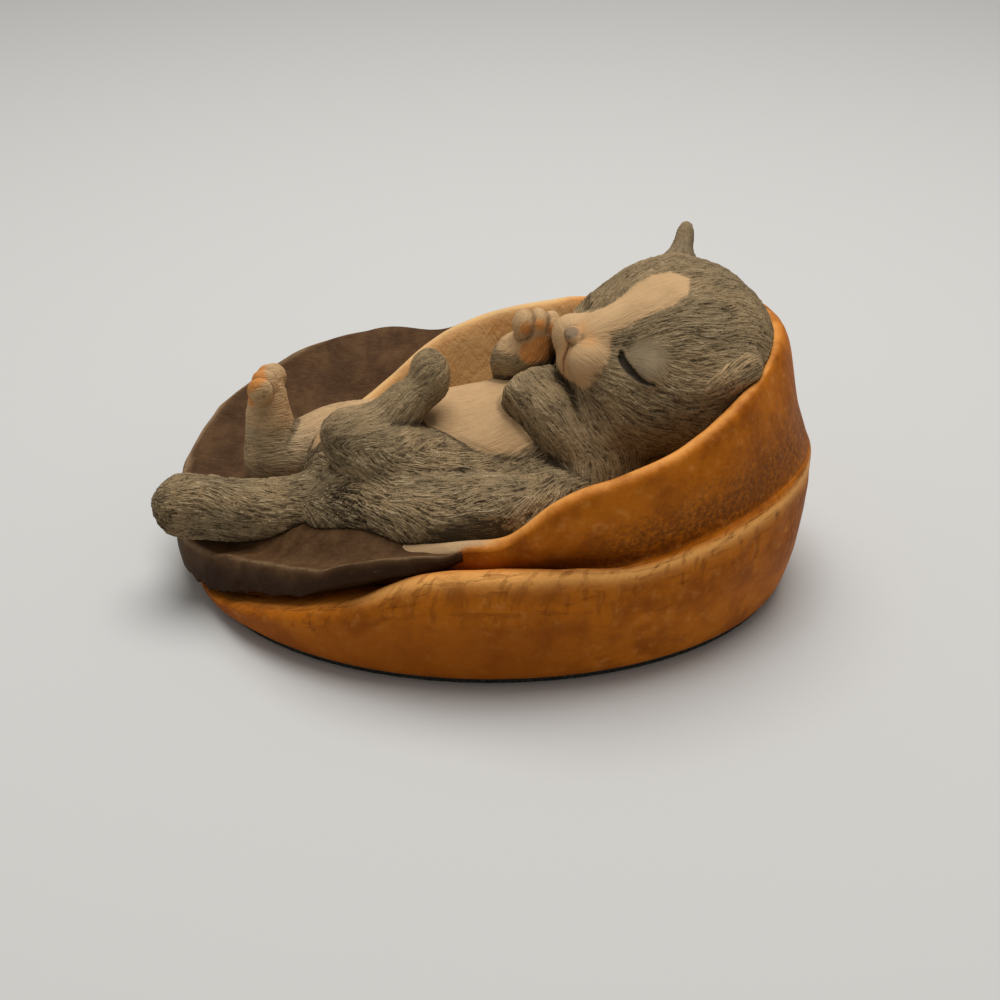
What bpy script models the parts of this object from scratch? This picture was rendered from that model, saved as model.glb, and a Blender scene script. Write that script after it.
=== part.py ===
"""Figurine of a kitten asleep on its back in an upturned cloth cap.

Resin castings, pegged and glued together on a felt pad. Metres, +Z up. The origin is near the
middle of the pad's underside, +X runs from the kitten's tail to its head and -Y is the shown side.
"""

import math

import bmesh
import bpy
from mathutils import Matrix, Vector

MM = 0.001

# Glue gap between two castings, and round a peg in its socket
CLEARANCE = 0.3 * MM
# Edges shorter than this are cleaned off after a cut
SLIVER = 0.02 * MM

# Felt pad under the cap
FELT_THICKNESS = 0.8 * MM
FELT_INSET = 1.2 * MM

# Cap crown, the bag of cloth that the kitten lies in
# Opening of the cap: front and back reach along X, half width
OPENING_FRONT = -33.0 * MM
OPENING_BACK = 42.0 * MM
OPENING_HALF_WIDTH = 33.8 * MM
# Other outlines of the cap: millimetres outside the opening at its front, its back and its sides
CREASE_OUT = (1.6, 3.0, -3.2)
ROLL_OUT = (17.4, 6.9, 3.9)
BASE_OUT = (16.4, 4.8, 2.0)
BOWL_OUT = (-2.5, -3.5, -6.4)
BRIM_OUT = (19.0, -6.0, 1.7)
# Heights of the cloth above the floor
BASE_EDGE = 1.0 * MM
ROLL_HEIGHT = 20.3 * MM
CREASE_HEIGHT = 17.6 * MM
CREASE_BACK_HEIGHT = 24.3 * MM
BOWL_FLOOR = 7.0 * MM
RIM_FRONT_HEIGHT = 15.0 * MM
RIM_BACK_HEIGHT = 44.0 * MM
RIM_ROLL = 2.7 * MM
RIM_DIP = 1.6 * MM
RIM_THICKNESS = 2.6 * MM
RIM_ROUNDING = 0.7 * MM
CROWN_STEPS = 64

# Cap brim, the peak that lies on the front of the crown and curls up on its far side
BRIM_SHIFT = 1.6 * MM
BRIM_THICKNESS = 4.2 * MM
BRIM_LIFT = 11.6 * MM
BRIM_SAG = 1.2 * MM
BRIM_NEAR_TRIM = 0.2
BRIM_FAR_END = math.radians(94)
BRIM_NEAR_END = math.radians(275)
BRIM_MERGE = 22.0 * MM
BRIM_TAPER = 0.12
BRIM_END_WIDTH = 0.3
BRIM_END_THICKNESS = 0.5
BRIM_STEPS = 34

# Pegs that hold the castings: radius and length
NECK_PEG = (2.4 * MM, 7.0 * MM)
LIMB_PEG = (1.4 * MM, 4.5 * MM)
EAR_PEG = (0.6 * MM, 2.5 * MM)
FLOOR_PEG = (3.0 * MM, 3.4 * MM)
BRIM_PEG = (1.2 * MM, 3.0 * MM)
BRIM_PEGS = (math.radians(150), math.radians(210))
PEG_ROOT = 1.6 * MM
PEG_SIDES = 12
LOW = Vector((0, 0, -6.5 * MM))

# Clay work: grain of the blending, and facets of each finished skin
CLAY_GRAIN = 0.8 * MM
FINE_GRAIN = 0.55 * MM
TORSO_FACETS = 700
HEAD_FACETS = 1300
HIND_LEG_FACETS = 800
FORELEG_FACETS = 640
TAIL_FACETS = 380

# Kitten's joints: x, y, z and radius in millimetres
HIP = (-18.0, -4.0, 17.0, 12.5)
BELLY = (-5.0, -4.5, 17.3, 14.0)
CHEST = (8.0, -3.5, 21.0, 13.0)
NECK = (17.0, -2.5, 27.0, 9.5)
LEFT_THIGH = (-21.0, -14.3, 18.5, 8.8)
LEFT_HAUNCH = (-13.0, -14.5, 20.5, 8.5)
LEFT_KNEE = (-7.0, -14.8, 23.5, 6.4)
LEFT_SHIN = (-16.0, -14.0, 26.6, 5.2)
LEFT_HEEL = (-23.5, -12.4, 29.3, 3.7)
LEFT_HIND_TOES = (-10.3, -8.2, 36.2, 3.1)
RIGHT_THIGH = (-16.0, 8.5, 17.0, 7.0)
RIGHT_SHIN = (-25.0, 5.5, 18.5, 6.2)
RIGHT_ANKLE = (-31.0, 4.2, 17.5, 4.9)
RIGHT_HEEL = (-36.6, 3.6, 16.8, 3.9)
RIGHT_HIND_TOES = (-35.8, 4.6, 31.2, 2.6)
LEFT_SHOULDER = (15.8, -13.5, 21.5, 5.6)
LEFT_ELBOW = (12.4, -12.6, 26.4, 4.9)
LEFT_FOREARM = (8.6, -11.3, 30.4, 4.3)
LEFT_WRIST = (5.0, -9.4, 33.4, 3.9)
LEFT_FINGERS = (2.2, -7.0, 35.2, 3.2)
RIGHT_SHOULDER = (13.0, 9.0, 24.0, 5.8)
RIGHT_ELBOW = (6.5, 6.5, 30.5, 5.0)
RIGHT_WRIST = (2.8, 2.0, 34.6, 3.8)
RIGHT_PALM = (4.0, 0.2, 37.4, 3.3)
RIGHT_FINGERS = (6.2, -0.4, 43.2, 2.6)
TAIL_ROOT = (-23.0, -4.0, 13.0, 4.6)
TAIL_BEND = (-31.0, -9.2, 15.3, 4.3)
TAIL_MIDDLE = (-40.0, -10.0, 15.0, 4.4)
TAIL_CLUB = (-46.0, -9.6, 14.6, 5.0)
TAIL_TIP = (-48.4, -9.4, 14.4, 5.2)
# The head rests on the back of the rim
HEAD_BELOW_RIM = 6.6
HEAD = (25.3, -2.0, RIM_BACK_HEIGHT / MM - HEAD_BELOW_RIM, 13.5)

# Paws: the way the toes stand side by side, and the depth of the palm
LEFT_HIND_SPREAD = Vector((-0.51, 0.43, 0.745))
LEFT_HIND_DEPTH = 2.6 * MM
RIGHT_HIND_SPREAD = Vector((0.2, 1.0, 0.0))
RIGHT_HIND_DEPTH = 2.3 * MM
LEFT_FORE_SPREAD = Vector((0.5, 0.75, 0.4))
LEFT_FORE_DEPTH = 3.2 * MM
RIGHT_FORE_SPREAD = Vector((0.9, 0.25, -0.3))
RIGHT_FORE_DEPTH = 2.6 * MM
TOE = 1.75 * MM

# Head: the way it faces, then places and radii of its features in millimetres to its right, up and ahead
HEAD_FACING = Vector((-0.19, -0.35, 0.91))
HEAD_CROWN = Vector((0.918, 0.2655, 0.296))
SKULL_AT = (0.0, 1.5, -0.5)
SKULL = (16.4, 14.8, 14.0)
CHEEK_AT = (7.4, -6.0, 1.6)
CHEEK = (7.6, 8.0, 7.6)
LID_AT = (7.6, -4.8, 8.0)
LID = (4.2, 3.4, 2.0)
WHISKER_PAD_AT = (3.3, -14.6, 10.6)
WHISKER_PAD = (3.7, 3.5, 3.6)
JAW_AT = (4.2, -12.2, 4.2)
JAW = (5.2, 4.8, 5.2)
MUZZLE_AT = (0.0, -11.5, 7.8)
MUZZLE = (6.6, 6.0, 6.4)
CHIN_AT = (0.0, -17.2, 7.4)
CHIN = (3.4, 2.8, 3.2)
NOSE_AT = (0.0, -14.0, 14.3)
NOSE = (1.9, 1.3, 1.2)
BROW_AT = (0.0, -1.0, 11.0)
NOSE_BACK_AT = (0.0, -13.0, 13.0)
NOSE_BRIDGE = (2.6, 2.6, 2.6)
BRIDGE_STEPS = 5
RIGHT_EAR_BASE = (12.0, 7.0, 4.2)
RIGHT_EAR_TIP = (19.0, 12.0, 6.7)
RIGHT_EAR_OPENING = Vector((-1.0, -0.5, 0.0))
LEFT_EAR_BASE = (-13.6, 7.5, 5.6)
LEFT_EAR_TIP = (-14.6, 1.8, 6.4)
EAR_LENGTH = 8.0 * MM
FOLDED_EAR_LENGTH = 6.8 * MM
EAR_WIDTH = 7.6 * MM
EAR_THICKNESS = 3.2 * MM
EAR_HOLLOW = 0.45
EAR_SIDES = 14
# Leaf of an ear: share of its length, of its width and of its thickness
EAR_LEAF = ((-0.15, 0.9, 1.2), (0.1, 1.0, 1.15), (0.4, 0.84, 0.9), (0.7, 0.52, 0.7), (0.92, 0.22, 0.5))

COLOURS = {
    "felt": ((0.10, 0.13, 0.10), 0.95),
    "cap_cloth": ((0.62, 0.28, 0.05), 0.55),
    "brim_leather": ((0.12, 0.075, 0.05), 0.6),
    "fur": ((0.26, 0.22, 0.16), 0.7),
    "pale_fur": ((0.60, 0.42, 0.26), 0.7),
}
SHADING_ANGLE = math.radians(50)


def clear_scene():
    for obj in list(bpy.data.objects):
        bpy.data.objects.remove(obj)


def material(name):
    colour, roughness = COLOURS[name]
    made = bpy.data.materials.get(name) or bpy.data.materials.new(name)
    made.use_nodes = True
    surface = made.node_tree.nodes["Principled BSDF"]
    surface.inputs["Base Color"].default_value = (*colour, 1.0)
    surface.inputs["Roughness"].default_value = roughness
    surface.inputs["Metallic"].default_value = 0.0
    return made


def finish_with(obj, finish):
    """Gives a mesh its material and shading."""
    obj.data.materials.clear()
    obj.data.materials.append(material(finish))
    obj.data.shade_smooth()
    obj.data.set_sharp_from_angle(angle=SHADING_ANGLE)
    return obj


def place(name, bm, finish):
    """Turns finished faces into an object."""
    bmesh.ops.recalc_face_normals(bm, faces=bm.faces)
    mesh = bpy.data.meshes.new(name)
    bm.to_mesh(mesh)
    bm.free()
    obj = bpy.data.objects.new(name, mesh)
    bpy.context.scene.collection.objects.link(obj)
    return finish_with(obj, finish)


def work_in(obj):
    """Works the object's modifiers into its own mesh."""
    finish = obj.data.materials[0].name
    graph = bpy.context.evaluated_depsgraph_get()
    mesh = bpy.data.meshes.new_from_object(obj.evaluated_get(graph))
    obj.modifiers.clear()
    obj.data = mesh
    return finish_with(obj, finish)


# Shaping: lofts and lumps of clay


def smooth_step(value):
    value = min(1.0, max(0.0, value))
    return value * value * (3 - 2 * value)


def loft(bm, rings):
    """Bridges rings of equal length in order and returns their vertices."""
    rows = [[bm.verts.new(point) for point in ring] for ring in rings]
    for low, high in zip(rows, rows[1:]):
        for i in range(len(low)):
            j = (i + 1) % len(low)
            bm.faces.new((low[i], low[j], high[j], high[i]))
    return rows


def fan(bm, row, tip):
    """Closes a ring with a fan to one point."""
    point = bm.verts.new(tip)
    for i, vert in enumerate(row):
        bm.faces.new((vert, row[(i + 1) % len(row)], point))


def spot(joint):
    return Vector(joint[:3]) * MM


def blend(weights, joints):
    return tuple(sum(w * joint[axis] for w, joint in zip(weights, joints)) for axis in range(4))


def curve_through(joints, steps):
    """Joints in close order on a Catmull-Rom curve through the given ones."""
    padded = [joints[0], *joints, joints[-1]]
    path = []
    for four in zip(padded, padded[1:], padded[2:], padded[3:]):
        for k in range(steps):
            t = k / steps
            weights = (
                -0.5 * t + t * t - 0.5 * t**3,
                1 - 2.5 * t * t + 1.5 * t**3,
                0.5 * t + 2 * t * t - 1.5 * t**3,
                -0.5 * t * t + 0.5 * t**3,
            )
            path.append(blend(weights, four))
    return [*path, joints[-1]]


def add_ball(bm, centre, radii, axes=None, detail=3):
    """An ellipsoid of clay. The axes are three directions, one for each radius."""
    frame = Matrix(axes).transposed() if axes else Matrix.Identity(3)
    shape = frame @ Matrix.Diagonal(Vector(radii))
    where = Matrix.Translation(centre) @ shape.to_4x4()
    bmesh.ops.create_icosphere(bm, subdivisions=detail, radius=1.0, matrix=where)


def add_limb(bm, joints, steps=5):
    """A swelling and tapering roll of clay along a curve through the joints."""
    for joint in curve_through(joints, steps):
        radius = joint[3] * MM
        add_ball(bm, spot(joint), (radius, radius, radius), detail=2)


def add_paw(bm, wrist, toes, spread, depth):
    """A paw from wrist to toes: a palm, and four toes side by side along spread."""
    along = (toes - wrist).normalized()
    wide = (spread - along * spread.dot(along)).normalized()
    axes = (wide, along, wide.cross(along))
    palm = (2.0 * TOE, 0.62 * (toes - wrist).length, depth)
    add_ball(bm, wrist.lerp(toes, 0.55), palm, axes)
    for k in (-1.5, -0.5, 0.5, 1.5):
        end = toes + wide * (1.25 * k * TOE) - along * (0.35 * abs(k) * TOE)
        add_ball(bm, end, (0.82 * TOE, 1.25 * TOE, 0.9 * depth), axes, detail=2)


def blend_clay(name, bm, finish, facets, grain=FINE_GRAIN):
    """Blends lumps of clay into one skin of about that many facets."""
    obj = place(name, bm, finish)
    remesh = obj.modifiers.new("blend", "REMESH")
    remesh.mode = "VOXEL"
    remesh.voxel_size = grain
    soften = obj.modifiers.new("soften", "SMOOTH")
    soften.factor = 0.5
    soften.iterations = 6
    work_in(obj)
    thin = obj.modifiers.new("thin", "DECIMATE")
    thin.ratio = min(1.0, facets / (2 * len(obj.data.polygons)))
    return work_in(obj)


# Fitting: seats, pegs and sockets


def cutter_from(name, mesh):
    """A hidden tool shape."""
    obj = bpy.data.objects.new(name, mesh)
    bpy.context.scene.collection.objects.link(obj)
    obj.hide_render = True
    obj.display_type = "WIRE"
    return obj


def join(obj, tool, operation):
    """Adds the tool shape to the casting or takes it away, and puts the tool shape by."""
    change = obj.modifiers.new("fit", "BOOLEAN")
    change.operation = operation
    change.object = tool
    change.solver = "EXACT"
    work_in(obj)
    bpy.data.objects.remove(tool)


def seat(obj, *others):
    """Cuts the casting back to the glue gap from each of the others, and trims off the flash."""
    for other in others:
        room = cutter_from(other.name + "_room", other.data.copy())
        swell = room.modifiers.new("gap", "DISPLACE")
        swell.strength = CLEARANCE
        swell.mid_level = 0.0
        work_in(room)
        join(obj, room, "DIFFERENCE")
    trim(obj)


def body_round(vert):
    """All vertices that hang together with one."""
    body = {vert}
    front = [vert]
    while front:
        for edge in front.pop().link_edges:
            fresh = set(edge.verts) - body
            body |= fresh
            front.extend(fresh)
    return body


def reach(body):
    """Diagonal of the box round a body's vertices."""
    low = Vector([min(vert.co[axis] for vert in body) for axis in range(3)])
    high = Vector([max(vert.co[axis] for vert in body) for axis in range(3)])
    return (high - low).length


def trim(obj):
    """Keeps the largest body that a cut leaves."""
    bm = bmesh.new()
    bm.from_mesh(obj.data)
    left = set(bm.verts)
    bodies = []
    while left:
        body = body_round(next(iter(left)))
        left -= body
        bodies.append(body)
    bodies.sort(key=reach)
    flash = [vert for body in bodies[:-1] for vert in body]
    bmesh.ops.delete(bm, geom=flash, context="VERTS")
    bmesh.ops.dissolve_degenerate(bm, edges=bm.edges, dist=SLIVER)
    bm.to_mesh(obj.data)
    bm.free()


def rod(start, end, radius):
    bm = bmesh.new()
    along = end - start
    where = Matrix.Translation((start + end) / 2) @ along.to_track_quat("Z", "Y").to_matrix().to_4x4()
    bmesh.ops.create_cone(
        bm, cap_ends=True, segments=PEG_SIDES, radius1=radius, radius2=radius,
        depth=along.length, matrix=where,
    )
    mesh = bpy.data.meshes.new("rod")
    bm.to_mesh(mesh)
    bm.free()
    mesh.materials.append(material("fur"))
    return cutter_from("rod", mesh)


def peg(obj, carrier, start, toward, size):
    """Gives the casting a peg at start, and its carrier the socket for it."""
    radius, length = size
    direction = (toward - start).normalized()
    root = start - direction * PEG_ROOT
    hole = rod(root, start + direction * (length + CLEARANCE), radius + CLEARANCE)
    join(carrier, hole, "DIFFERENCE")
    trim(carrier)
    join(obj, rod(root, start + direction * length, radius), "UNION")


def peg_from(obj, carrier, joint, toward, size):
    """A peg on the skin of a limb's rounded end, on the line from its joint."""
    centre = spot(joint)
    start = centre + (toward - centre).normalized() * (joint[3] * MM - CLEARANCE)
    peg(obj, carrier, start, toward, size)


# Cap: the crown, the brim on it and the felt pad below it

OPENING = (OPENING_FRONT, OPENING_BACK, OPENING_HALF_WIDTH)


def outside_opening(out):
    """An outline that lies further out than the opening."""
    front, back, half_width = out
    return OPENING_FRONT - front * MM, OPENING_BACK + back * MM, OPENING_HALF_WIDTH + half_width * MM


CREASE = outside_opening(CREASE_OUT)
ROLL = outside_opening(ROLL_OUT)
BASE = outside_opening(BASE_OUT)
BOWL = outside_opening(BOWL_OUT)
BRIM = outside_opening(BRIM_OUT)


def inset(outline, amount):
    front, back, half_width = outline
    return front + amount, back - amount, half_width - amount


def between(one, other, share):
    return tuple(a + (b - a) * share for a, b in zip(one, other))


def on_outline(outline, turn):
    front, back, half_width = outline
    x = (front + back) / 2 + (back - front) / 2 * math.cos(turn)
    return Vector((x, half_width * math.sin(turn), 0))


def ring(outline, height):
    """An oval ring. The height is a function of x and y."""
    points = []
    for i in range(CROWN_STEPS):
        point = on_outline(outline, 2 * math.pi * i / CROWN_STEPS)
        point.z = height(point.x, point.y)
        points.append(point)
    return points


def rim_height(x, y):
    """The opening climbs from the brim to the back, dips before it and rolls where the brim ends."""
    way = (x - OPENING_FRONT) / (OPENING_BACK - OPENING_FRONT)
    rise = (RIM_BACK_HEIGHT - RIM_FRONT_HEIGHT) * way
    dip = RIM_DIP * math.sin(math.pi * max(0.0, 2.5 * way - 1.5))
    roll = RIM_ROLL * y / OPENING_HALF_WIDTH
    roll *= smooth_step(2.3 - 3.7 * way) * smooth_step(4.6 * way - 0.55)
    return RIM_FRONT_HEIGHT + rise - dip + roll


def brim_edges(turn):
    """Top of the brim's inner and outer edge at one turn round the opening."""
    inner = on_outline(between(OPENING, CREASE, 0.5), turn)
    outer = on_outline(BRIM, turn) + Vector((0, BRIM_SHIFT, 0))
    side = math.pi - turn
    trimmed = BRIM_NEAR_TRIM * smooth_step(0.4 - 2 * side) * smooth_step(2.6 + 2 * side)
    outer = inner.lerp(outer, 1 - trimmed)
    curl = smooth_step((side + 0.75) / 1.3) * smooth_step((1.62 - side) / 0.75)
    inner.z = rim_height(inner.x, inner.y) - RIM_ROUNDING
    outer.z = rim_height(outer.x, outer.y) - RIM_ROUNDING + BRIM_LIFT * curl
    return inner, outer


def brim_top(turn, share):
    """Top of the brim at a share of the way out, with its slight dish."""
    inner, outer = brim_edges(turn)
    point = inner.lerp(outer, share)
    point.z -= BRIM_SAG * math.sin(math.pi * share)
    return point


def roll_height(x, y):
    """Top of the rolled cloth: level at the back, close under the brim at the front."""
    front, back, half_width = BRIM
    turn = math.atan2(y / half_width, 2 * x / (back - front)) % (2 * math.pi)
    under = brim_top(turn, 0.9).z - BRIM_THICKNESS - CLEARANCE
    return ROLL_HEIGHT + (under - ROLL_HEIGHT) * smooth_step(-x / BRIM_MERGE)


def crease_height(x, y):
    """Foot of the band: close under the rim at the brim, in the crease further back."""
    back = CREASE[1]
    climb = smooth_step((x - 0.1 * back) / back)
    crease = CREASE_HEIGHT + (CREASE_BACK_HEIGHT - CREASE_HEIGHT) * climb
    lip = RIM_ROUNDING + BRIM_THICKNESS + CLEARANCE
    return min(rim_height(x, y) - lip, crease)


def cap_crown():
    base = FELT_THICKNESS + CLEARANCE

    def roll(share):
        return lambda x, y: base + share * (roll_height(x, y) - base)

    def band(share):
        return lambda x, y: crease_height(x, y) + share * (rim_height(x, y) - crease_height(x, y))

    def bowl(share):
        return lambda x, y: BOWL_FLOOR + share * (rim_height(x, y) - BOWL_FLOOR)

    def rounded_rim(x, y):
        return rim_height(x, y) - RIM_ROUNDING

    def valley(x, y):
        return 0.4 * roll_height(x, y) + 0.6 * crease_height(x, y)

    fold = between(ROLL, CREASE, 0.35)
    bowl_middle = inset(BOWL, BOWL[2])
    rings = [
        ring(inset(BASE, BASE_EDGE), lambda x, y: base),
        ring(BASE, lambda x, y: base + BASE_EDGE),
        ring(between(BASE, ROLL, 0.55), roll(0.3)),
        ring(between(BASE, ROLL, 0.95), roll(0.58)),
        ring(ROLL, roll(0.8)),
        ring(between(ROLL, fold, 0.3), roll(0.94)),
        ring(fold, roll_height),
        ring(between(fold, CREASE, 0.6), valley),
        ring(CREASE, crease_height),
        ring(between(CREASE, OPENING, 0.45), band(0.33)),
        ring(between(CREASE, OPENING, 0.85), band(0.7)),
        ring(OPENING, rounded_rim),
        ring(inset(OPENING, RIM_THICKNESS / 2), rim_height),
        ring(inset(OPENING, RIM_THICKNESS), rounded_rim),
        ring(BOWL, bowl(0.6)),
        ring(between(BOWL, bowl_middle, 0.16), bowl(0.26)),
        ring(between(BOWL, bowl_middle, 0.42), bowl(0.06)),
    ]
    bm = bmesh.new()
    rows = loft(bm, rings)
    fan(bm, rows[0], Vector((0, 0, base)))
    fan(bm, rows[-1], Vector((0, 0, BOWL_FLOOR)))
    return place("cap_crown", bm, "cap_cloth")


def cap_brim():
    """A curved plate round the front of the opening, tapered at its two ends."""
    profile = (
        (0.0, 0.0), (0.45, 0.0), (0.88, 0.0), (0.98, 0.12),
        (1.0, 0.5), (0.95, 0.95), (0.5, 1.0), (0.0, 1.0),
    )
    sections = []
    for i in range(BRIM_STEPS + 1):
        way = i / BRIM_STEPS
        turn = BRIM_FAR_END + (BRIM_NEAR_END - BRIM_FAR_END) * way
        taper = smooth_step(min(way, 1 - way) / BRIM_TAPER)
        section = []
        for share, depth in profile:
            point = brim_top(turn, share * (BRIM_END_WIDTH + (1 - BRIM_END_WIDTH) * taper))
            point.z -= depth * BRIM_THICKNESS * (BRIM_END_THICKNESS + (1 - BRIM_END_THICKNESS) * taper)
            section.append(point)
        sections.append(section)
    bm = bmesh.new()
    rows = loft(bm, sections)
    bm.faces.new(rows[0])
    bm.faces.new(rows[-1])
    bmesh.ops.triangulate(bm, faces=bm.faces)
    return place("cap_brim", bm, "brim_leather")


def felt_pad():
    outline = inset(BASE, BASE_EDGE + FELT_INSET)
    bm = bmesh.new()
    rows = loft(bm, [ring(outline, lambda x, y: 0.0), ring(outline, lambda x, y: FELT_THICKNESS)])
    bm.faces.new(rows[0])
    bm.faces.new(rows[-1])
    return place("felt_pad", bm, "felt")


# Kitten


def face_axes():
    """Directions of the head: to the kitten's right, to its crown and to its front."""
    front = HEAD_FACING.normalized()
    crown = (HEAD_CROWN - front * HEAD_CROWN.dot(front)).normalized()
    return front.cross(crown), crown, front


def on_head(place_on_it):
    """A place on the head, from millimetres to its right, up to its crown and ahead of its middle."""
    right, crown, front = face_axes()
    side, up, ahead = place_on_it
    return spot(HEAD) + (right * side + crown * up + front * ahead) * MM


def torso():
    bm = bmesh.new()
    add_limb(bm, [HIP, BELLY, CHEST, NECK])
    return blend_clay("torso", bm, "fur", TORSO_FACETS, CLAY_GRAIN)


def head():
    bm = bmesh.new()

    def feature(place_on_it, size):
        add_ball(bm, on_head(place_on_it), Vector(size) * MM, face_axes())

    def pair(place_on_it, size):
        side, up, ahead = place_on_it
        feature((side, up, ahead), size)
        feature((-side, up, ahead), size)

    feature(SKULL_AT, SKULL)
    pair(CHEEK_AT, CHEEK)
    pair(LID_AT, LID)
    pair(WHISKER_PAD_AT, WHISKER_PAD)
    pair(JAW_AT, JAW)
    feature(MUZZLE_AT, MUZZLE)
    feature(CHIN_AT, CHIN)
    for k in range(BRIDGE_STEPS + 1):
        feature(Vector(BROW_AT).lerp(Vector(NOSE_BACK_AT), k / BRIDGE_STEPS), NOSE_BRIDGE)
    feature(NOSE_AT, NOSE)
    return blend_clay("head", bm, "fur", HEAD_FACETS)


def ear(name, base, toward, opening, length):
    """A leaf of an ear, hollowed on the side that it opens to."""
    along = (toward - base).normalized()
    tip = base + along * length
    flat = (opening - along * opening.dot(along)).normalized()
    across = along.cross(flat)
    sections = []
    for share, width, depth in EAR_LEAF:
        section = []
        for i in range(EAR_SIDES):
            turn = 2 * math.pi * i / EAR_SIDES
            hollow = EAR_HOLLOW * max(0.0, math.sin(turn)) ** 2 * width
            rise = 0.5 * math.sin(turn) * depth - hollow
            point = base.lerp(tip, share) + across * (0.5 * EAR_WIDTH * width * math.cos(turn))
            section.append(point + flat * (EAR_THICKNESS * rise))
        sections.append(section)
    bm = bmesh.new()
    rows = loft(bm, sections)
    fan(bm, rows[0], base.lerp(tip, 1.3 * EAR_LEAF[0][0]))
    fan(bm, rows[-1], tip)
    return place(name, bm, "fur")


def left_hind_leg():
    bm = bmesh.new()
    add_limb(bm, [LEFT_THIGH, LEFT_HAUNCH, LEFT_KNEE])
    add_limb(bm, [LEFT_KNEE, LEFT_SHIN, LEFT_HEEL])
    add_limb(bm, [LEFT_HEEL, blend((0.4, 0.6), (LEFT_HEEL, LEFT_HIND_TOES))])
    heel, toes = spot(LEFT_HEEL), spot(LEFT_HIND_TOES)
    add_paw(bm, heel.lerp(toes, 0.55), toes, LEFT_HIND_SPREAD, LEFT_HIND_DEPTH)
    return blend_clay("left_hind_leg", bm, "fur", HIND_LEG_FACETS)


def right_hind_leg():
    bm = bmesh.new()
    add_limb(bm, [RIGHT_THIGH, RIGHT_SHIN, RIGHT_ANKLE, RIGHT_HEEL])
    add_limb(bm, [RIGHT_HEEL, blend((0.3, 0.7), (RIGHT_HEEL, RIGHT_HIND_TOES))])
    heel, toes = spot(RIGHT_HEEL), spot(RIGHT_HIND_TOES)
    add_paw(bm, heel.lerp(toes, 0.68), toes, RIGHT_HIND_SPREAD, RIGHT_HIND_DEPTH)
    return blend_clay("right_hind_leg", bm, "pale_fur", HIND_LEG_FACETS)


def left_foreleg():
    bm = bmesh.new()
    add_limb(bm, [LEFT_SHOULDER, LEFT_ELBOW, LEFT_FOREARM, LEFT_WRIST])
    add_paw(bm, spot(LEFT_WRIST), spot(LEFT_FINGERS), LEFT_FORE_SPREAD, LEFT_FORE_DEPTH)
    return blend_clay("left_foreleg", bm, "fur", FORELEG_FACETS)


def right_foreleg():
    bm = bmesh.new()
    add_limb(bm, [RIGHT_SHOULDER, RIGHT_ELBOW, RIGHT_WRIST, RIGHT_PALM])
    add_paw(bm, spot(RIGHT_PALM), spot(RIGHT_FINGERS), RIGHT_FORE_SPREAD, RIGHT_FORE_DEPTH)
    return blend_clay("right_foreleg", bm, "fur", FORELEG_FACETS)


def tail():
    bm = bmesh.new()
    add_limb(bm, [TAIL_ROOT, TAIL_BEND, TAIL_MIDDLE, TAIL_CLUB, TAIL_TIP])
    return blend_clay("tail", bm, "fur", TAIL_FACETS, CLAY_GRAIN)


def build():
    clear_scene()
    felt_pad()
    crown = cap_crown()
    brim = cap_brim()
    skull = head()
    left_hind, right_hind = left_hind_leg(), right_hind_leg()
    left_fore, right_fore = left_foreleg(), right_foreleg()
    brush = tail()
    body = torso()
    right_base, right_tip = on_head(RIGHT_EAR_BASE), on_head(RIGHT_EAR_TIP)
    left_base, left_tip = on_head(LEFT_EAR_BASE), on_head(LEFT_EAR_TIP)
    right_flap = ear("right_ear", right_base, right_tip, RIGHT_EAR_OPENING, EAR_LENGTH)
    left_flap = ear("left_ear", left_base, left_tip, face_axes()[0], FOLDED_EAR_LENGTH)

    # Each casting is cut back from those that are laid before it, and the torso from all of them
    seat(brim, crown)
    seat(skull, crown)
    seat(right_hind, crown, brim)
    seat(left_hind, crown, brim, right_hind)
    seat(brush, crown, brim, left_hind, right_hind)
    seat(left_fore, crown, skull)
    seat(right_fore, crown, skull, left_fore)
    seat(body, crown, brim, skull, left_hind, right_hind, left_fore, right_fore, brush)
    seat(right_flap, skull, crown)
    seat(left_flap, skull, crown)

    peg_from(skull, body, HEAD, spot(CHEST), NECK_PEG)
    peg_from(left_fore, body, LEFT_SHOULDER, spot(CHEST) + LOW, LIMB_PEG)
    peg_from(right_fore, body, RIGHT_SHOULDER, spot(CHEST) + LOW, LIMB_PEG)
    peg_from(left_hind, body, LEFT_HAUNCH, spot(BELLY), LIMB_PEG)
    peg_from(right_hind, body, RIGHT_THIGH, spot(HIP), LIMB_PEG)
    peg_from(brush, body, TAIL_ROOT, spot(BELLY) + LOW, LIMB_PEG)
    floor = Vector((BELLY[0] * MM, BELLY[1] * MM, BOWL_FLOOR))
    peg(body, crown, floor, Vector((floor.x, floor.y, 0)), FLOOR_PEG)
    for turn in BRIM_PEGS:
        under = brim_top(turn, 0.4) - Vector((0, 0, BRIM_THICKNESS))
        peg(brim, crown, under, Vector((under.x, under.y, 0)), BRIM_PEG)
    peg(right_flap, skull, right_base.lerp(right_tip, 0.4), right_base, EAR_PEG)
    under_flap = left_base.lerp(left_tip, 0.45)
    under_flap += (spot(HEAD) - under_flap).normalized() * PEG_ROOT / 2
    peg(left_flap, skull, under_flap, spot(HEAD), EAR_PEG)


if __name__ == "__main__":
    build()
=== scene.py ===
"""Looks of the kitten figurine: painted resin castings in the CAD model's own frame."""

import math

import bpy
import numpy as np
import openvdb
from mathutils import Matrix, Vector
from mathutils.bvhtree import BVHTree
from mathutils.kdtree import KDTree


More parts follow.
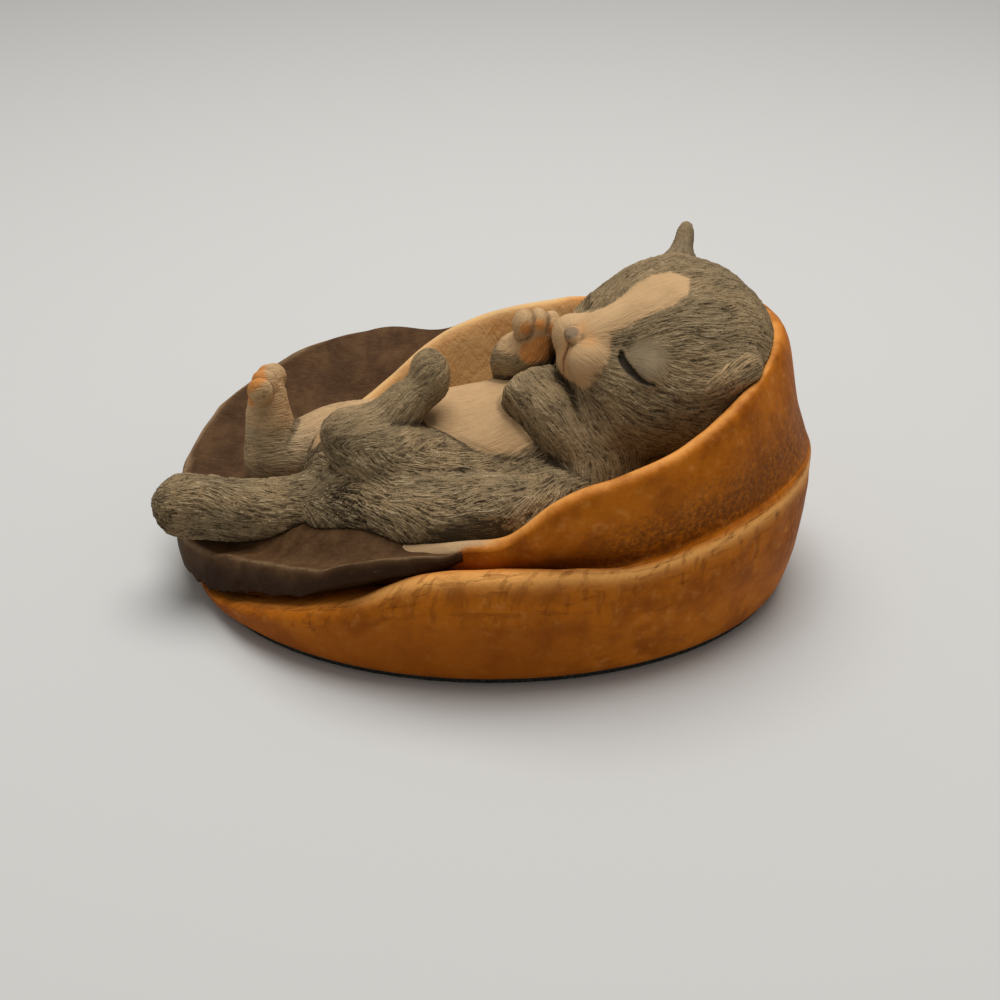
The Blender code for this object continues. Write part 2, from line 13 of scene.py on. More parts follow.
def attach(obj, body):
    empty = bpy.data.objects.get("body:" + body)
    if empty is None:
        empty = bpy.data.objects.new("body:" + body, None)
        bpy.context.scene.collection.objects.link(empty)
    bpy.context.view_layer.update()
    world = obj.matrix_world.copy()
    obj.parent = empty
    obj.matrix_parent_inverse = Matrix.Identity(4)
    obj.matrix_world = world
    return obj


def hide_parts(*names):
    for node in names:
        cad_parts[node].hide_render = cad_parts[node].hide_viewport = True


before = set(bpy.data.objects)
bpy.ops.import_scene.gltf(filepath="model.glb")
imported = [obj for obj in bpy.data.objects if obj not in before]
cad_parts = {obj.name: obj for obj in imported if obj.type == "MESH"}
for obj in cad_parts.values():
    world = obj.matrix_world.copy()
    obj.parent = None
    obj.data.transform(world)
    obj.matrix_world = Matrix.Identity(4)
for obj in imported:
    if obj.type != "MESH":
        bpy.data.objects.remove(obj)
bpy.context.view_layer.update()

# Felt pad
# A sheet of dark grey-green felt under the whole figurine. It is cut a little inside the cap's
# base and glued on, so only a thin dark line of it shows above the table.
FELT_DARK = (0.020, 0.024, 0.020, 1)
FELT_FIBRE = (0.065, 0.075, 0.062, 1)
FELT_FIBRES_PER_METRE = 2600
FELT_NAP = 0.0003


def put(tree, kind, inputs=None, **settings):
    """Adds a shader node. Its inputs are plain values or the outputs of other nodes."""
    made = tree.nodes.new("ShaderNode" + kind)
    for name, value in settings.items():
        setattr(made, name, value)
    for name, value in (inputs or {}).items():
        if isinstance(value, bpy.types.NodeSocket):
            tree.links.new(value, made.inputs[name])
        else:
            made.inputs[name].default_value = value
    return made


def grain(tree, where, scale, detail, rough=0.55):
    inputs = {"Vector": where, "Scale": scale, "Detail": detail, "Roughness": rough}
    return put(tree, "TexNoise", inputs).outputs["Fac"]


def step(tree, value, low, high):
    """A soft step from 0 at low to 1 at high."""
    inputs = {"Value": value, "From Min": low, "From Max": high}
    return put(tree, "MapRange", inputs, interpolation_type="SMOOTHSTEP").outputs["Result"]


def tint(tree, share, one, other):
    """Paint one, going over to paint other as the share goes from 0 to 1."""
    return put(tree, "Mix", {0: share, 6: one, 7: other}, data_type="RGBA").outputs[2]


def finish(name, roughness, specular):
    """A new material: its tree, its shader and the place on the piece in metres."""
    made = bpy.data.materials.new(name)
    made.use_nodes = True
    tree = made.node_tree
    shader = tree.nodes["Principled BSDF"]
    shader.inputs["Roughness"].default_value = roughness
    shader.inputs["Specular IOR Level"].default_value = specular
    return made, tree, shader, put(tree, "TexCoord").outputs["Object"]


def relief(tree, shader, height, depth):
    """Fine relief under the paint, with its depth in metres."""
    bump = put(tree, "Bump", {"Height": height, "Distance": depth, "Strength": 1.0})
    tree.links.new(bump.outputs["Normal"], shader.inputs["Normal"])


felt, tree, shader, place = finish("felt", roughness=0.95, specular=0.1)
fibres = grain(tree, place, FELT_FIBRES_PER_METRE, 4)
paint = tint(tree, step(tree, fibres, 0.35, 0.7), FELT_DARK, FELT_FIBRE)
tree.links.new(paint, shader.inputs["Base Color"])
relief(tree, shader, fibres, FELT_NAP)
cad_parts["felt_pad"].data.materials.clear()
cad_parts["felt_pad"].data.materials.append(felt)

# Cap crown
# The bag of the cap, cast in resin with a puffed roll at the foot, a fold and a soft band up to the rim.
# It is painted ochre and brushed with a brown wash that stays in the fold and in the cloth's weave. It has
# painted shade low on the front of the roll and along the front crease under the brim, and painted
# highlights along the top of the roll and along the rim.
MM = 0.001
# Outlines in millimetres: how far the cap reaches to its front, to its back and to each side
OPENING = np.array([-33.0, 42.0, 33.8])
RIM_FOOT = OPENING + (0.0, 0.9, 0.0)
BAND = OPENING + (0.0, 2.0, 0.0)
CREASE = OPENING + (-1.6, 5.6, -1.9)
ROLL = OPENING + (-15.7, 6.2, 3.6)
BASE = OPENING + (-15.6, 3.8, 1.4)
BOWL = OPENING + (2.5, -3.5, -6.4)
BRIM = OPENING + (-19.0, -6.0, 1.7)
# Heights above the table
BASE_HEIGHT = 1.1
BASE_EDGE = 1.0
ROLL_HEIGHT = 20.3
CREASE_HEIGHT = 17.6
CREASE_BACK_HEIGHT = 24.3
BOWL_FLOOR = 7.0
RIM_FRONT_HEIGHT = 15.0
RIM_BACK_HEIGHT = 42.8
# The roll climbs to the back by this much per millimetre, and has its plain height at this x
ROLL_TILT = 0.13
ROLL_PLAIN_AT = 26
# Rises and dips along the rim, and its section
RIM_ROLL = 2.7
RIM_DIP = 1.6
RIM_NEAR_DIP = 1.8
RIM_SWELL = 1.0
RIM_THICKNESS = 2.6
RIM_ROUNDING = 0.7
# The brim, whose underside shapes the front of the roll
BRIM_SHIFT = 1.6
BRIM_THICKNESS = 6.0
BRIM_NEAR_THINNING = 0.5
BRIM_LIFT = 10.9
BRIM_NEAR_LIFT = 0.9
BRIM_END_LIFT = 1.6
BRIM_NEAR_TRIM = 0.2
BRIM_SAG = 1.2
BRIM_MERGE = 22.0
GLUE_GAP = 0.3
CROWN_TURNS = 560
CROWN_GRAIN = 0.56
# Lumps of the cloth: their size and height
CLOTH_LUMPS = ((9.0, 0.22), (3.5, 0.07))


def ease(value):
    value = np.clip(value, 0.0, 1.0)
    return value * value * (3 - 2 * value)


def ramp(value, start, span):
    """Rises softly from 0 at the start to 1 a span further on."""
    return ease((value - start) / span)


def ridge(value, middle, width):
    """1 on a middle line, fading over the width to both sides."""
    return np.exp(-((value - middle) / width) ** 2)


def between(one, other, share):
    return one + (other - one) * share


def inset(outline, amount):
    return outline + (amount, -amount, -amount)


def on_outline(outline, turn):
    front, back, half_width = outline
    x = (front + back) / 2 + (back - front) / 2 * np.cos(turn)
    return np.stack([x, half_width * np.sin(turn), np.zeros_like(turn)], axis=-1)


def lip_height(x, y):
    """Height of the crown's lip, on which the brim is glued."""
    way = (x - OPENING[0]) / (OPENING[1] - OPENING[0])
    rise = (RIM_BACK_HEIGHT - RIM_FRONT_HEIGHT) * way
    dip = RIM_DIP * np.sin(np.pi * np.maximum(0.0, 2.5 * way - 1.5))
    roll = RIM_ROLL * y / OPENING[2] * ease(2.3 - 3.7 * way) * ease(4.6 * way - 0.55)
    swell = RIM_SWELL * ramp(y, 8, 10) * ramp(x, -26, 14) * ramp(x, 22, -10)
    return RIM_FRONT_HEIGHT + rise - dip + roll + swell


def rim_height(x, y):
    """Height of the rim, which dips beside the near end of the brim."""
    return lip_height(x, y) - RIM_NEAR_DIP * ramp(-y, 18, 8) * ridge(x, 1, 4.5)


def brim_edges(turn, slew):
    """Top of the brim's inner and outer edge, the outer one turned on by the slew."""
    inner = on_outline(between(OPENING, CREASE, 0.5), turn)
    outer = on_outline(BRIM, turn + slew) + (0, BRIM_SHIFT, 0)
    far = np.pi - turn - slew
    near = -far
    trimmed = BRIM_NEAR_TRIM * ramp(near, 0.25, 0.5) * ramp(far, -1.3, 0.5)
    raised = BRIM_NEAR_LIFT * ramp(near, 0.1, 0.6) + BRIM_END_LIFT * ramp(near, 1.05, 0.35)
    outer = inner + (outer - inner) * (1 - trimmed)[..., None]
    curl = ramp(far, -0.55, 1.2) * ramp(far, 1.86, -1)
    inner[..., 2] = lip_height(inner[..., 0], inner[..., 1]) - RIM_ROUNDING
    outer[..., 2] = lip_height(outer[..., 0], outer[..., 1]) - RIM_ROUNDING + BRIM_LIFT * curl + raised
    return inner, outer


def brim_top(turn, share, slew=0.0):
    """Top of the brim at a share of the way out, with its slight dish."""
    inner, outer = brim_edges(turn, slew)
    share = np.broadcast_to(share, turn.shape)
    points = inner + (outer - inner) * share[..., None]
    points[..., 2] -= BRIM_SAG * np.sin(np.pi * share)
    return points


def brim_depth(turn):
    """Thickness of the brim, which runs thin towards its near end."""
    return BRIM_THICKNESS * (1 - BRIM_NEAR_THINNING * ramp(np.degrees(turn), 212, 40))


def roll_height(x, y):
    """Top of the roll: close under the brim at the front, climbing at the back."""
    turn = np.arctan2(y / BRIM[2], 2 * x / (BRIM[1] - BRIM[0])) % (2 * np.pi)
    under = brim_top(turn, 0.9)[..., 2] - brim_depth(turn) - GLUE_GAP
    tilt = ROLL_TILT * (x - ROLL_PLAIN_AT) * ramp(x, 10, 12)
    return ROLL_HEIGHT + tilt + (under - ROLL_HEIGHT) * ramp(-x, 0, BRIM_MERGE)


def crease_height(x, y):
    """Foot of the band: under the brim at the front, in the fold further back."""
    climb = ramp(x, 0.1 * CREASE[1], CREASE[1])
    crease = CREASE_HEIGHT + (CREASE_BACK_HEIGHT - CREASE_HEIGHT) * climb
    lip = RIM_ROUNDING + BRIM_THICKNESS + GLUE_GAP
    return np.minimum(rim_height(x, y) - lip, crease)


def on_roll(share):
    return lambda x, y: BASE_HEIGHT + share * (roll_height(x, y) - BASE_HEIGHT)


def in_valley(x, y):
    return between(roll_height(x, y), crease_height(x, y), 0.6)


def on_band(share):
    return lambda x, y: between(crease_height(x, y), rim_height(x, y), share)


def rounded_rim(x, y):
    return rim_height(x, y) - RIM_ROUNDING


def on_bowl(share):
    return lambda x, y: BOWL_FLOOR + share * (rim_height(x, y) - BOWL_FLOOR)


def curve_rows(rows, grain_mm):
    """Smooth rows through the given ones. Also gives each new row's place among the given ones."""
    chords = [np.linalg.norm(b - a, axis=1).mean() for a, b in zip(rows, rows[1:])]
    gaps = np.sqrt(chords)
    slopes = [(b - a) / gap for a, b, gap in zip(rows, rows[1:], gaps)]
    leans = [slopes[0]]
    for k in range(1, len(slopes)):
        leans.append((slopes[k - 1] * gaps[k] + slopes[k] * gaps[k - 1]) / (gaps[k - 1] + gaps[k]))
    leans.append(slopes[-1])
    made, places = [], []
    for k, chord in enumerate(chords):
        count = max(2, int(round(chord / grain_mm)))
        for t in np.arange(count) / count:
            square, cube = t * t, t**3
            made.append(
                (2 * cube - 3 * square + 1) * rows[k] + (3 * square - 2 * cube) * rows[k + 1]
                + gaps[k] * ((cube - 2 * square + t) * leans[k] + (cube - square) * leans[k + 1])
            )
            places.append(k + t)
    return np.array(made + [rows[-1]]), np.array(places + [len(chords)])


LATTICE_SIZE = 48
lattice = np.random.default_rng(11).standard_normal((LATTICE_SIZE,) * 3).astype(np.float32)
lattice_axes = np.array([[0.36, 0.48, -0.8], [-0.8, 0.6, 0.0], [0.48, 0.64, 0.6]])


def clouds(points, size):
    """Soft random values about 0, with features of that many millimetres."""
    where = points @ lattice_axes / size + 5.0
    low = np.floor(where).astype(np.int32)
    share = (where - low).astype(np.float32)
    share = share * share * (3 - 2 * share)
    total = np.zeros(points.shape[:-1], np.float32)
    for corner in range(8):
        bits = np.array([corner & 1, corner >> 1 & 1, corner >> 2 & 1])
        i, j, k = np.moveaxis((low + bits) % LATTICE_SIZE, -1, 0)
        total += np.prod(np.where(bits, share, 1 - share), axis=-1) * lattice[i, j, k]
    return total


def piece(name, points, quads, material, tris=None, **marks):
    """Makes a mesh from points in millimetres and puts it on the figurine.

    The marks are values for the paint. Where the last points have none, they are 0 there.
    """
    mesh = bpy.data.meshes.new(name)
    tris = np.zeros((0, 3), np.int32) if tris is None else tris
    corners = np.concatenate([quads.ravel(), tris.ravel()]).astype(np.int32)
    starts = np.concatenate([np.arange(len(quads)) * 4, len(quads) * 4 + np.arange(len(tris)) * 3])
    mesh.vertices.add(len(points))
    mesh.vertices.foreach_set("co", (points * MM).astype(np.float32).ravel())
    mesh.loops.add(len(corners))
    mesh.loops.foreach_set("vertex_index", corners)
    mesh.polygons.add(len(starts))
    mesh.polygons.foreach_set("loop_start", starts.astype(np.int32))
    mesh.update(calc_edges=True)
    mesh.shade_smooth()
    mesh.materials.append(material)
    for key, values in marks.items():
        kind, field = ("FLOAT", "value") if values.ndim == 1 else ("FLOAT_VECTOR", "vector")
        bare = np.zeros((len(points) - len(values), *values.shape[1:]))
        values = np.concatenate([values, bare]).astype(np.float32)
        mesh.attributes.new(key, kind, "POINT").data.foreach_set(field, values.ravel())
    made = bpy.data.objects.new(name, mesh)
    bpy.context.scene.collection.objects.link(made)
    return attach(made, "root")


def facing(points, quads):
    """Outward directions at the points."""
    total = np.zeros_like(points)
    one = points[quads[:, 3]] - points[quads[:, 1]]
    other = points[quads[:, 2]] - points[quads[:, 0]]
    push = np.cross(other, one)
    for corner in quads.T:
        np.add.at(total, corner, push)
    return total / np.maximum(1e-9, np.linalg.norm(total, axis=1, keepdims=True))


def net(rows, columns):
    """Faces of a net of rows, each closed into a ring."""
    index = np.arange(rows * columns).reshape(rows, columns)
    beside = np.roll(index, -1, axis=1)
    return np.stack([index[:-1], beside[:-1], beside[1:], index[1:]], axis=-1).reshape(-1, 4)


turns = np.arange(CROWN_TURNS) * 2 * np.pi / CROWN_TURNS


def cloth_ring(outline, height):
    points = on_outline(outline, turns)
    points[:, 2] = height(points[:, 0], points[:, 1]) if callable(height) else height
    return points


fold = between(ROLL, CREASE, 0.35)
bowl_middle = inset(BOWL, BOWL[2])
rings = [
    cloth_ring(inset(BASE, BASE_EDGE), BASE_HEIGHT),
    cloth_ring(BASE, BASE_HEIGHT + BASE_EDGE),
    cloth_ring(between(BASE, ROLL, 0.55), on_roll(0.3)),
    cloth_ring(between(BASE, ROLL, 0.95), on_roll(0.58)),
    cloth_ring(ROLL, on_roll(0.8)),
    cloth_ring(between(ROLL, fold, 0.3), on_roll(0.94)),
    cloth_ring(fold, roll_height),
    cloth_ring(between(fold, CREASE, 0.6), in_valley),
    cloth_ring(CREASE, crease_height),
    cloth_ring(between(CREASE, BAND, 0.55), on_band(0.28)),
    cloth_ring(between(CREASE, BAND, 0.98), on_band(0.62)),
    cloth_ring(RIM_FOOT, on_band(0.85)),
    cloth_ring(OPENING, rounded_rim),
    cloth_ring(inset(OPENING, RIM_THICKNESS / 2), rim_height),
    cloth_ring(inset(OPENING, RIM_THICKNESS), rounded_rim),
    cloth_ring(BOWL, on_bowl(0.6)),
    cloth_ring(between(BOWL, bowl_middle, 0.16), on_bowl(0.26)),
    cloth_ring(between(BOWL, bowl_middle, 0.42), on_bowl(0.06)),
    cloth_ring(between(BOWL, bowl_middle, 0.85), BOWL_FLOOR),
]
EDGE_ROW, ROLL_ROW, FOLD_ROW, CREASE_ROW, RIM_ROW = 1, 4, 6, 8, 13
rows, row_place = curve_rows(rings, CROWN_GRAIN)
crown_points = rows.reshape(-1, 3)
crown_quads = net(len(rows), CROWN_TURNS)
ring_place = np.repeat(row_place, CROWN_TURNS)
out = facing(crown_points, crown_quads)
lumps = sum(clouds(crown_points, size) * height for size, height in CLOTH_LUMPS)
lumps *= ramp(ring_place, EDGE_ROW, 2)
crown_points = crown_points + out * lumps[:, None]

# Where each paint goes, by the row of cloth and by its place in the cap
cloth_x, cloth_y = crown_points[:, 0], crown_points[:, 1]
along = np.concatenate([[0], np.cumsum(np.linalg.norm(np.diff(rows, axis=0), axis=2).mean(axis=1))])
around = np.concatenate([[0], np.cumsum(np.linalg.norm(np.diff(rings[ROLL_ROW], axis=0), axis=1))])
back_side = ramp(cloth_x, 2, 16)
near_front = ramp(cloth_y, -4, -6) * ramp(cloth_x, 1, -5) * ramp(cloth_x, -22, 5)
far_front = ramp(cloth_y, 6, 6) * ramp(cloth_x, 16, -8)
bare_rim = 0.7 + 1.3 * ramp(cloth_x, -4, -5)
crown_marks = {
    "around": np.tile(around, len(rows)),
    "along": np.repeat(along, CROWN_TURNS),
    # Painted shade low on the front of the roll, much less on the back
    "low": ramp(ring_place, FOLD_ROW - 1.8, -2.2) * (1 - 0.9 * back_side),
    "lit": ridge(ring_place, FOLD_ROW - 0.6, 0.6) * (0.2 + 0.8 * ramp(cloth_x, -24, 10)),
    "cloth": ramp(ring_place, 2, 2) * ramp(ring_place, 7.4, -1.2),
    # Painted shade, a darker red, along the crease at the front under the brim
    "front_crease_shade": 0.8 * ridge(ring_place, CREASE_ROW, 1.5) * (1 - back_side),
    "valley": ridge(ring_place, CREASE_ROW + 0.6, 1.5) * (0.25 + 0.75 * back_side),
    # Brown wash and painted shade in the crease, strongest at the front under the brim
    "crease": 0.25 * ridge(ring_place, CREASE_ROW, 0.7) * (1 - 0.75 * back_side),
    # Painted highlight along the rim
    "rim": 0.7 * ridge(ring_place, RIM_ROW, 0.65),
    "straw": 0.8 * far_front * ridge(ring_place, RIM_ROW, 0.9),
    "cream": near_front * ramp(ring_place, RIM_ROW - bare_rim, 0.5),
    "lining": ramp(ring_place, RIM_ROW + 0.4, 1),
}

# The underside and the floor of the bowl are closed by a fan each
first = np.arange(CROWN_TURNS)
last = first + (len(rows) - 1) * CROWN_TURNS
middle = np.full(CROWN_TURNS, len(crown_points))
fans = np.concatenate([
    np.stack([middle, np.roll(first, -1), first], axis=1),
    np.stack([middle + 1, last, np.roll(last, -1)], axis=1),
])
opening_middle = OPENING[:2].mean()
fan_middles = [[opening_middle, 0, BASE_HEIGHT], [opening_middle, 0, BOWL_FLOOR]]
crown_points = np.concatenate([crown_points, fan_middles])

CAP_OCHRE = (0.54, 0.153, 0.006, 1)
CAP_SHADE = (0.29, 0.070, 0.003, 1)
CAP_LIGHT = (0.90, 0.425, 0.115, 1)
CAP_WASH = (0.185, 0.054, 0.006, 1)
CAP_LINING = (0.60, 0.335, 0.128, 1)
CAP_CREAM = (0.50, 0.325, 0.170, 1)
CAP_CREASE_SHADE_RED = (0.36, 0.070, 0.004, 1)
CAP_STITCH = (0.20, 0.045, 0.003, 1)
CAP_STRAW = (0.78, 0.52, 0.24, 1)
CAP_RELIEF = 0.0002
# Streaks of the weave along and across the roll, and threads that cross aslant in the lining
WEAVE_PER_MM = 0.8
WARP, WEFT = (0.8, 0.3, 1.0), (0.2, 0.9, 1.0)
LINING_PER_MM = 1.3
LINING_SLANT = 0.8
LINING_WARP, LINING_WEFT = (1, 0.2, 1), (0.2, 1, 1)


def mark(tree, name):
    """A value that the mesh carries at each point."""
    return put(tree, "Attribute", attribute_name=name).outputs["Fac"]


def sums(tree, operation, one, other):
    return put(tree, "Math", {0: one, 1: other}, operation=operation).outputs["Value"]


def times(tree, one, other):
    return sums(tree, "MULTIPLY", one, other)


def stretch(tree, where, shares):
    """A place with its three directions scaled, which draws out the grain that it carries."""
    return put(tree, "VectorMath", {0: where, 1: shares}, operation="MULTIPLY").outputs[0]


cap_cloth, tree, shader, place = finish("cap_cloth", roughness=0.55, specular=0.07)
flow = put(tree, "CombineXYZ", {"X": mark(tree, "around"), "Y": mark(tree, "along"), "Z": 0.0}).outputs[0]
mottle = grain(tree, place, 120, 6, 0.62)
speckle = grain(tree, place, 1500, 3, 0.7)
rubbed = step(tree, grain(tree, place, 520, 5, 0.65), 0.5, 0.8)
paint = tint(tree, step(tree, mottle, 0.3, 0.62), CAP_SHADE, CAP_OCHRE)
paint = tint(tree, times(tree, rubbed, 0.3), paint, CAP_LIGHT)
# Painted shade low on the roll
paint = tint(tree, times(tree, mark(tree, "low"), 0.65), paint, CAP_SHADE)
paint = tint(tree, times(tree, mark(tree, "lit"), step(tree, mottle, 0.1, 0.5)), paint, CAP_LIGHT)
warp = step(tree, grain(tree, stretch(tree, flow, WARP), WEAVE_PER_MM, 3), 0.52, 0.66)
weft = step(tree, grain(tree, stretch(tree, flow, WEFT), WEAVE_PER_MM, 3), 0.53, 0.68)
weave = times(tree, sums(tree, "ADD", warp, weft), mark(tree, "cloth"))
weave = times(tree, weave, step(tree, mottle, 0.25, 0.55))
paint = tint(tree, times(tree, weave, 0.42), paint, CAP_STITCH)
# Painted shade, a darker red, along the front crease
paint = tint(tree, times(tree, mark(tree, "front_crease_shade"), step(tree, mottle, 0.3, 0.6)), paint, CAP_CREASE_SHADE_RED)
soaked = sums(tree, "ADD", speckle, times(tree, mark(tree, "valley"), 0.34))
stipple = times(tree, step(tree, soaked, 0.56, 0.98), mark(tree, "valley"))
paint = tint(tree, stipple, paint, CAP_WASH)
# Brown wash and painted shade in the crease
paint = tint(tree, mark(tree, "crease"), paint, CAP_WASH)
# Painted highlight along the rim
paint = tint(tree, times(tree, mark(tree, "rim"), step(tree, mottle, 0.25, 0.6)), paint, CAP_LIGHT)
slant = put(tree, "VectorRotate", {"Vector": flow, "Angle": LINING_SLANT}, rotation_type="Z_AXIS").outputs[0]
threads = [
    step(tree, grain(tree, stretch(tree, slant, shares), LINING_PER_MM, 3), 0.45, 0.7)
    for shares in (LINING_WARP, LINING_WEFT)
]
threads = times(tree, sums(tree, "ADD", *threads), mark(tree, "lining"))
inside = tint(tree, step(tree, mottle, 0.1, 0.5), CAP_OCHRE, CAP_LINING)
inside = tint(tree, times(tree, threads, 0.12), inside, CAP_SHADE)
paint = tint(tree, mark(tree, "lining"), paint, inside)
paint = tint(tree, mark(tree, "straw"), paint, CAP_STRAW)
paint = tint(tree, mark(tree, "cream"), paint, CAP_CREAM)
tree.links.new(paint, shader.inputs["Base Color"])
cuts = times(tree, sums(tree, "ADD", weave, times(tree, threads, 0.4)), -0.6)
relief(tree, shader, sums(tree, "ADD", cuts, grain(tree, place, 900, 3)), CAP_RELIEF)

crown = piece("cap_crown_cloth", crown_points, crown_quads, cap_cloth, fans, **crown_marks)
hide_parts("cap_crown")

# Cap brim
# The peak of the cap, a plate of stiff leather that wraps the front of the opening and curls up on the
# far side. It is cast apart, glued on the crown and painted in mottled dark browns with rubbed edges, with
# painted shade on the outer face of its near part.
BRIM_FAR_END, BRIM_NEAR_END = math.radians(107), math.radians(256)
BRIM_FAR_TAPER, BRIM_NEAR_TAPER = 0.06, 0.05
BRIM_FAR_WIDTH, BRIM_NEAR_WIDTH = 0.3, 0.7
BRIM_END_THICKNESS = 0.55
# Turn of the outer edge at the two ends, in radians
BRIM_FAR_SLEW, BRIM_NEAR_SLEW = -0.2, 0.26
# On the near side the brim laps over the rim, and its lower edge is ragged
BRIM_LAP, BRIM_LAP_RISE = 4.2, 1.6
BRIM_RAGGED = 0.5
BRIM_TURNS = 380
BRIM_GRAIN = 0.5
# Section of the brim: share of the way out and depth on the far side, the same on the near side, and lap
BRIM_SECTION = [
    (0, 0, 0, 0, 1), (0.2, 0, 0.2, 0, 0.45), (0.5, 0, 0.5, 0, 0), (0.86, 0, 0.74, 0, 0),
    (0.975, 0.06, 0.84, 0.05, 0), (1.0, 0.4, 0.92, 0.4, 0), (0.975, 0.92, 0.96, 0.92, 0),
    (0.85, 1, 0.88, 1, 0), (0.5, 1, 0.5, 1, 0), (0, 1, 0, 1, 0),
]
BRIM_EDGE_ROW, BRIM_FOOT_ROW, BRIM_INNER_ROW = 4, 6, 9
way = np.arange(BRIM_TURNS + 1) / BRIM_TURNS
brim_turn = BRIM_FAR_END + (BRIM_NEAR_END - BRIM_FAR_END) * way
degrees = np.degrees(brim_turn)
taper = ease(np.minimum(way / BRIM_FAR_TAPER, (1 - way) / BRIM_NEAR_TAPER))
end_width = np.where(way < 0.5, BRIM_FAR_WIDTH, BRIM_NEAR_WIDTH)
thickness = brim_depth(brim_turn) * (BRIM_END_THICKNESS + (1 - BRIM_END_THICKNESS) * taper)
near_part = ramp(degrees, 186, 24)
lap = ramp(degrees, 178, 16) * ramp(degrees, 244, -12)
brim_slew = BRIM_FAR_SLEW * ramp(degrees, 128, -21) + BRIM_NEAR_SLEW * ramp(degrees, 214, 36)
inner, outer = brim_edges(brim_turn, brim_slew)
inward = (inner - outer) * (1, 1, 0)
inward /= np.linalg.norm(inward, axis=1, keepdims=True)
edges = []
for far_share, far_depth, near_share, near_depth, over in BRIM_SECTION:
    share, depth = between(far_share, near_share, near_part), between(far_depth, near_depth, near_part)
    points = brim_top(brim_turn, share * (end_width + (1 - end_width) * taper), brim_slew)
    points[:, 2] -= depth * thickness
    lip = lip_height(points[:, 0], points[:, 1])
    points += inward * (BRIM_LAP * over * lap)[:, None]
    rise = BRIM_LAP_RISE * min(1, 2.2 * over) * lap
    points[:, 2] += lip_height(points[:, 0], points[:, 1]) - lip + rise
    edges.append(points)
rows, row_place = curve_rows(edges + edges[:1], BRIM_GRAIN)
rows, row_place = rows[:-1], row_place[:-1]
brim_points = rows.transpose(1, 0, 2).reshape(-1, 3)
brim_quads = net(BRIM_TURNS + 1, len(rows))[:, ::-1]
strip = np.tile(row_place, BRIM_TURNS + 1)
out = facing(brim_points, brim_quads)
lumps = clouds(brim_points * (0.35, 1, 1), 2.2) * 0.11 + clouds(brim_points, 6.0) * 0.12
brim_points = brim_points + out * lumps[:, None]
near_strip = np.repeat(near_part, len(rows))
brim_points[:, 2] += BRIM_RAGGED * (near_strip * ridge(strip, BRIM_FOOT_ROW, 0.7)) * clouds(brim_points, 1.3)
wave = 0.22 * clouds(brim_points, 3.2)
rubbed_edge = (1 - 0.4 * near_strip) * ridge(strip + wave, BRIM_EDGE_ROW, 0.22)
# Painted shade on the outer face and underside of the brim's near part
shaded_brim_face = near_strip * ramp(strip + wave, BRIM_EDGE_ROW + 0.1, 1.4) * (strip < BRIM_INNER_ROW)
ends = []
for base in (0, BRIM_TURNS * len(rows)):
    middle = len(brim_points)
    ring_index = base + np.arange(len(rows))
    brim_points = np.concatenate([brim_points, brim_points[ring_index].mean(axis=0, keepdims=True)])
    pair = (ring_index, np.roll(ring_index, -1))
    ends.append(np.stack([np.full(len(rows), middle), *(pair if base == 0 else pair[::-1])], axis=1))

BRIM_BROWN = (0.138, 0.071, 0.029, 1)
BRIM_DARK = (0.068, 0.030, 0.011, 1)
BRIM_BLACK = (0.036, 0.015, 0.005, 1)
BRIM_RUB = (0.36, 0.225, 0.12, 1)
BRIM_RELIEF = 0.00025

brim_leather, tree, shader, place = finish("brim_leather", roughness=0.6, specular=0.09)
mottle = grain(tree, place, 260, 6, 0.65)
scuffs = grain(tree, stretch(tree, place, (0.4, 1, 1)), 1500, 5, 0.7)
paint = tint(tree, step(tree, mottle, 0.3, 0.75), BRIM_DARK, BRIM_BROWN)
paint = tint(tree, times(tree, step(tree, scuffs, 0.55, 0.8), 0.25), paint, BRIM_RUB)
# Painted shade on the near part's outer face
paint = tint(tree, times(tree, mark(tree, "face"), step(tree, scuffs, 0.2, 0.45)), paint, BRIM_BLACK)
paint = tint(tree, times(tree, mark(tree, "edge"), step(tree, scuffs, 0.15, 0.6)), paint, BRIM_RUB)
tree.links.new(paint, shader.inputs["Base Color"])
relief(tree, shader, scuffs, BRIM_RELIEF)

brim = piece(
    "cap_brim_leather", brim_points, brim_quads, brim_leather, np.concatenate(ends),
    edge=rubbed_edge, face=shaded_brim_face,
)
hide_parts("cap_brim")

# Kitten's torso
# Belly, chest and back of the kitten, cast in resin and pegged to the floor of the cap. Like the kitten's
# other castings it is built up from soft rolls of clay, and painted as a grey-brown coat with a cream belly.
HIP, BELLY = (-18.0, -4.0, 17.0, 12.5), (-5.0, -4.5, 17.3, 14.0)
CHEST, NECK = (8.0, -3.5, 21.0, 13.0), (17.0, -2.5, 27.0, 9.5)
# Edge of the cream belly on the shown side, at some places along x
BELLY_X = [-18, -14, -9.5, -4.7, -1.3, 2.6, 9]
BELLY_EDGE = [-6, -10, -12.6, -14.8, -15.6, -15.2, -13]
# The lie of the coat on the flank, in degrees that it climbs as it runs back, at some places along x
FLANK_X = [-27, -20.5, -16.5, -10.3, -5, 1.5, 7]
FLANK_SLOPES = [8, 18, 32, 15, -5, -38, -45]
DOWN_FLANK = np.array([0.0, -0.5, -0.866])
# The block that holds the clay, in steps of a fine grid
CLAY_STEP = 0.27
CLAY_LOW = np.array([-57.0, -29.0, 4.0])
CLAY_SHAPE = (380, 188, 198)
CLAY_MARGIN = 3.0
FAR_AWAY = 9.0
clay_axes = [CLAY_LOW[k] + CLAY_STEP * np.arange(CLAY_SHAPE[k], dtype=np.float32) for k in range(3)]
# For each casting its clay, how softly it runs into those before it in millimetres, and its coat
clay, softness, coats = {}, {}, {}


def fresh_clay():
    return np.full(CLAY_SHAPE, FAR_AWAY, np.float32)


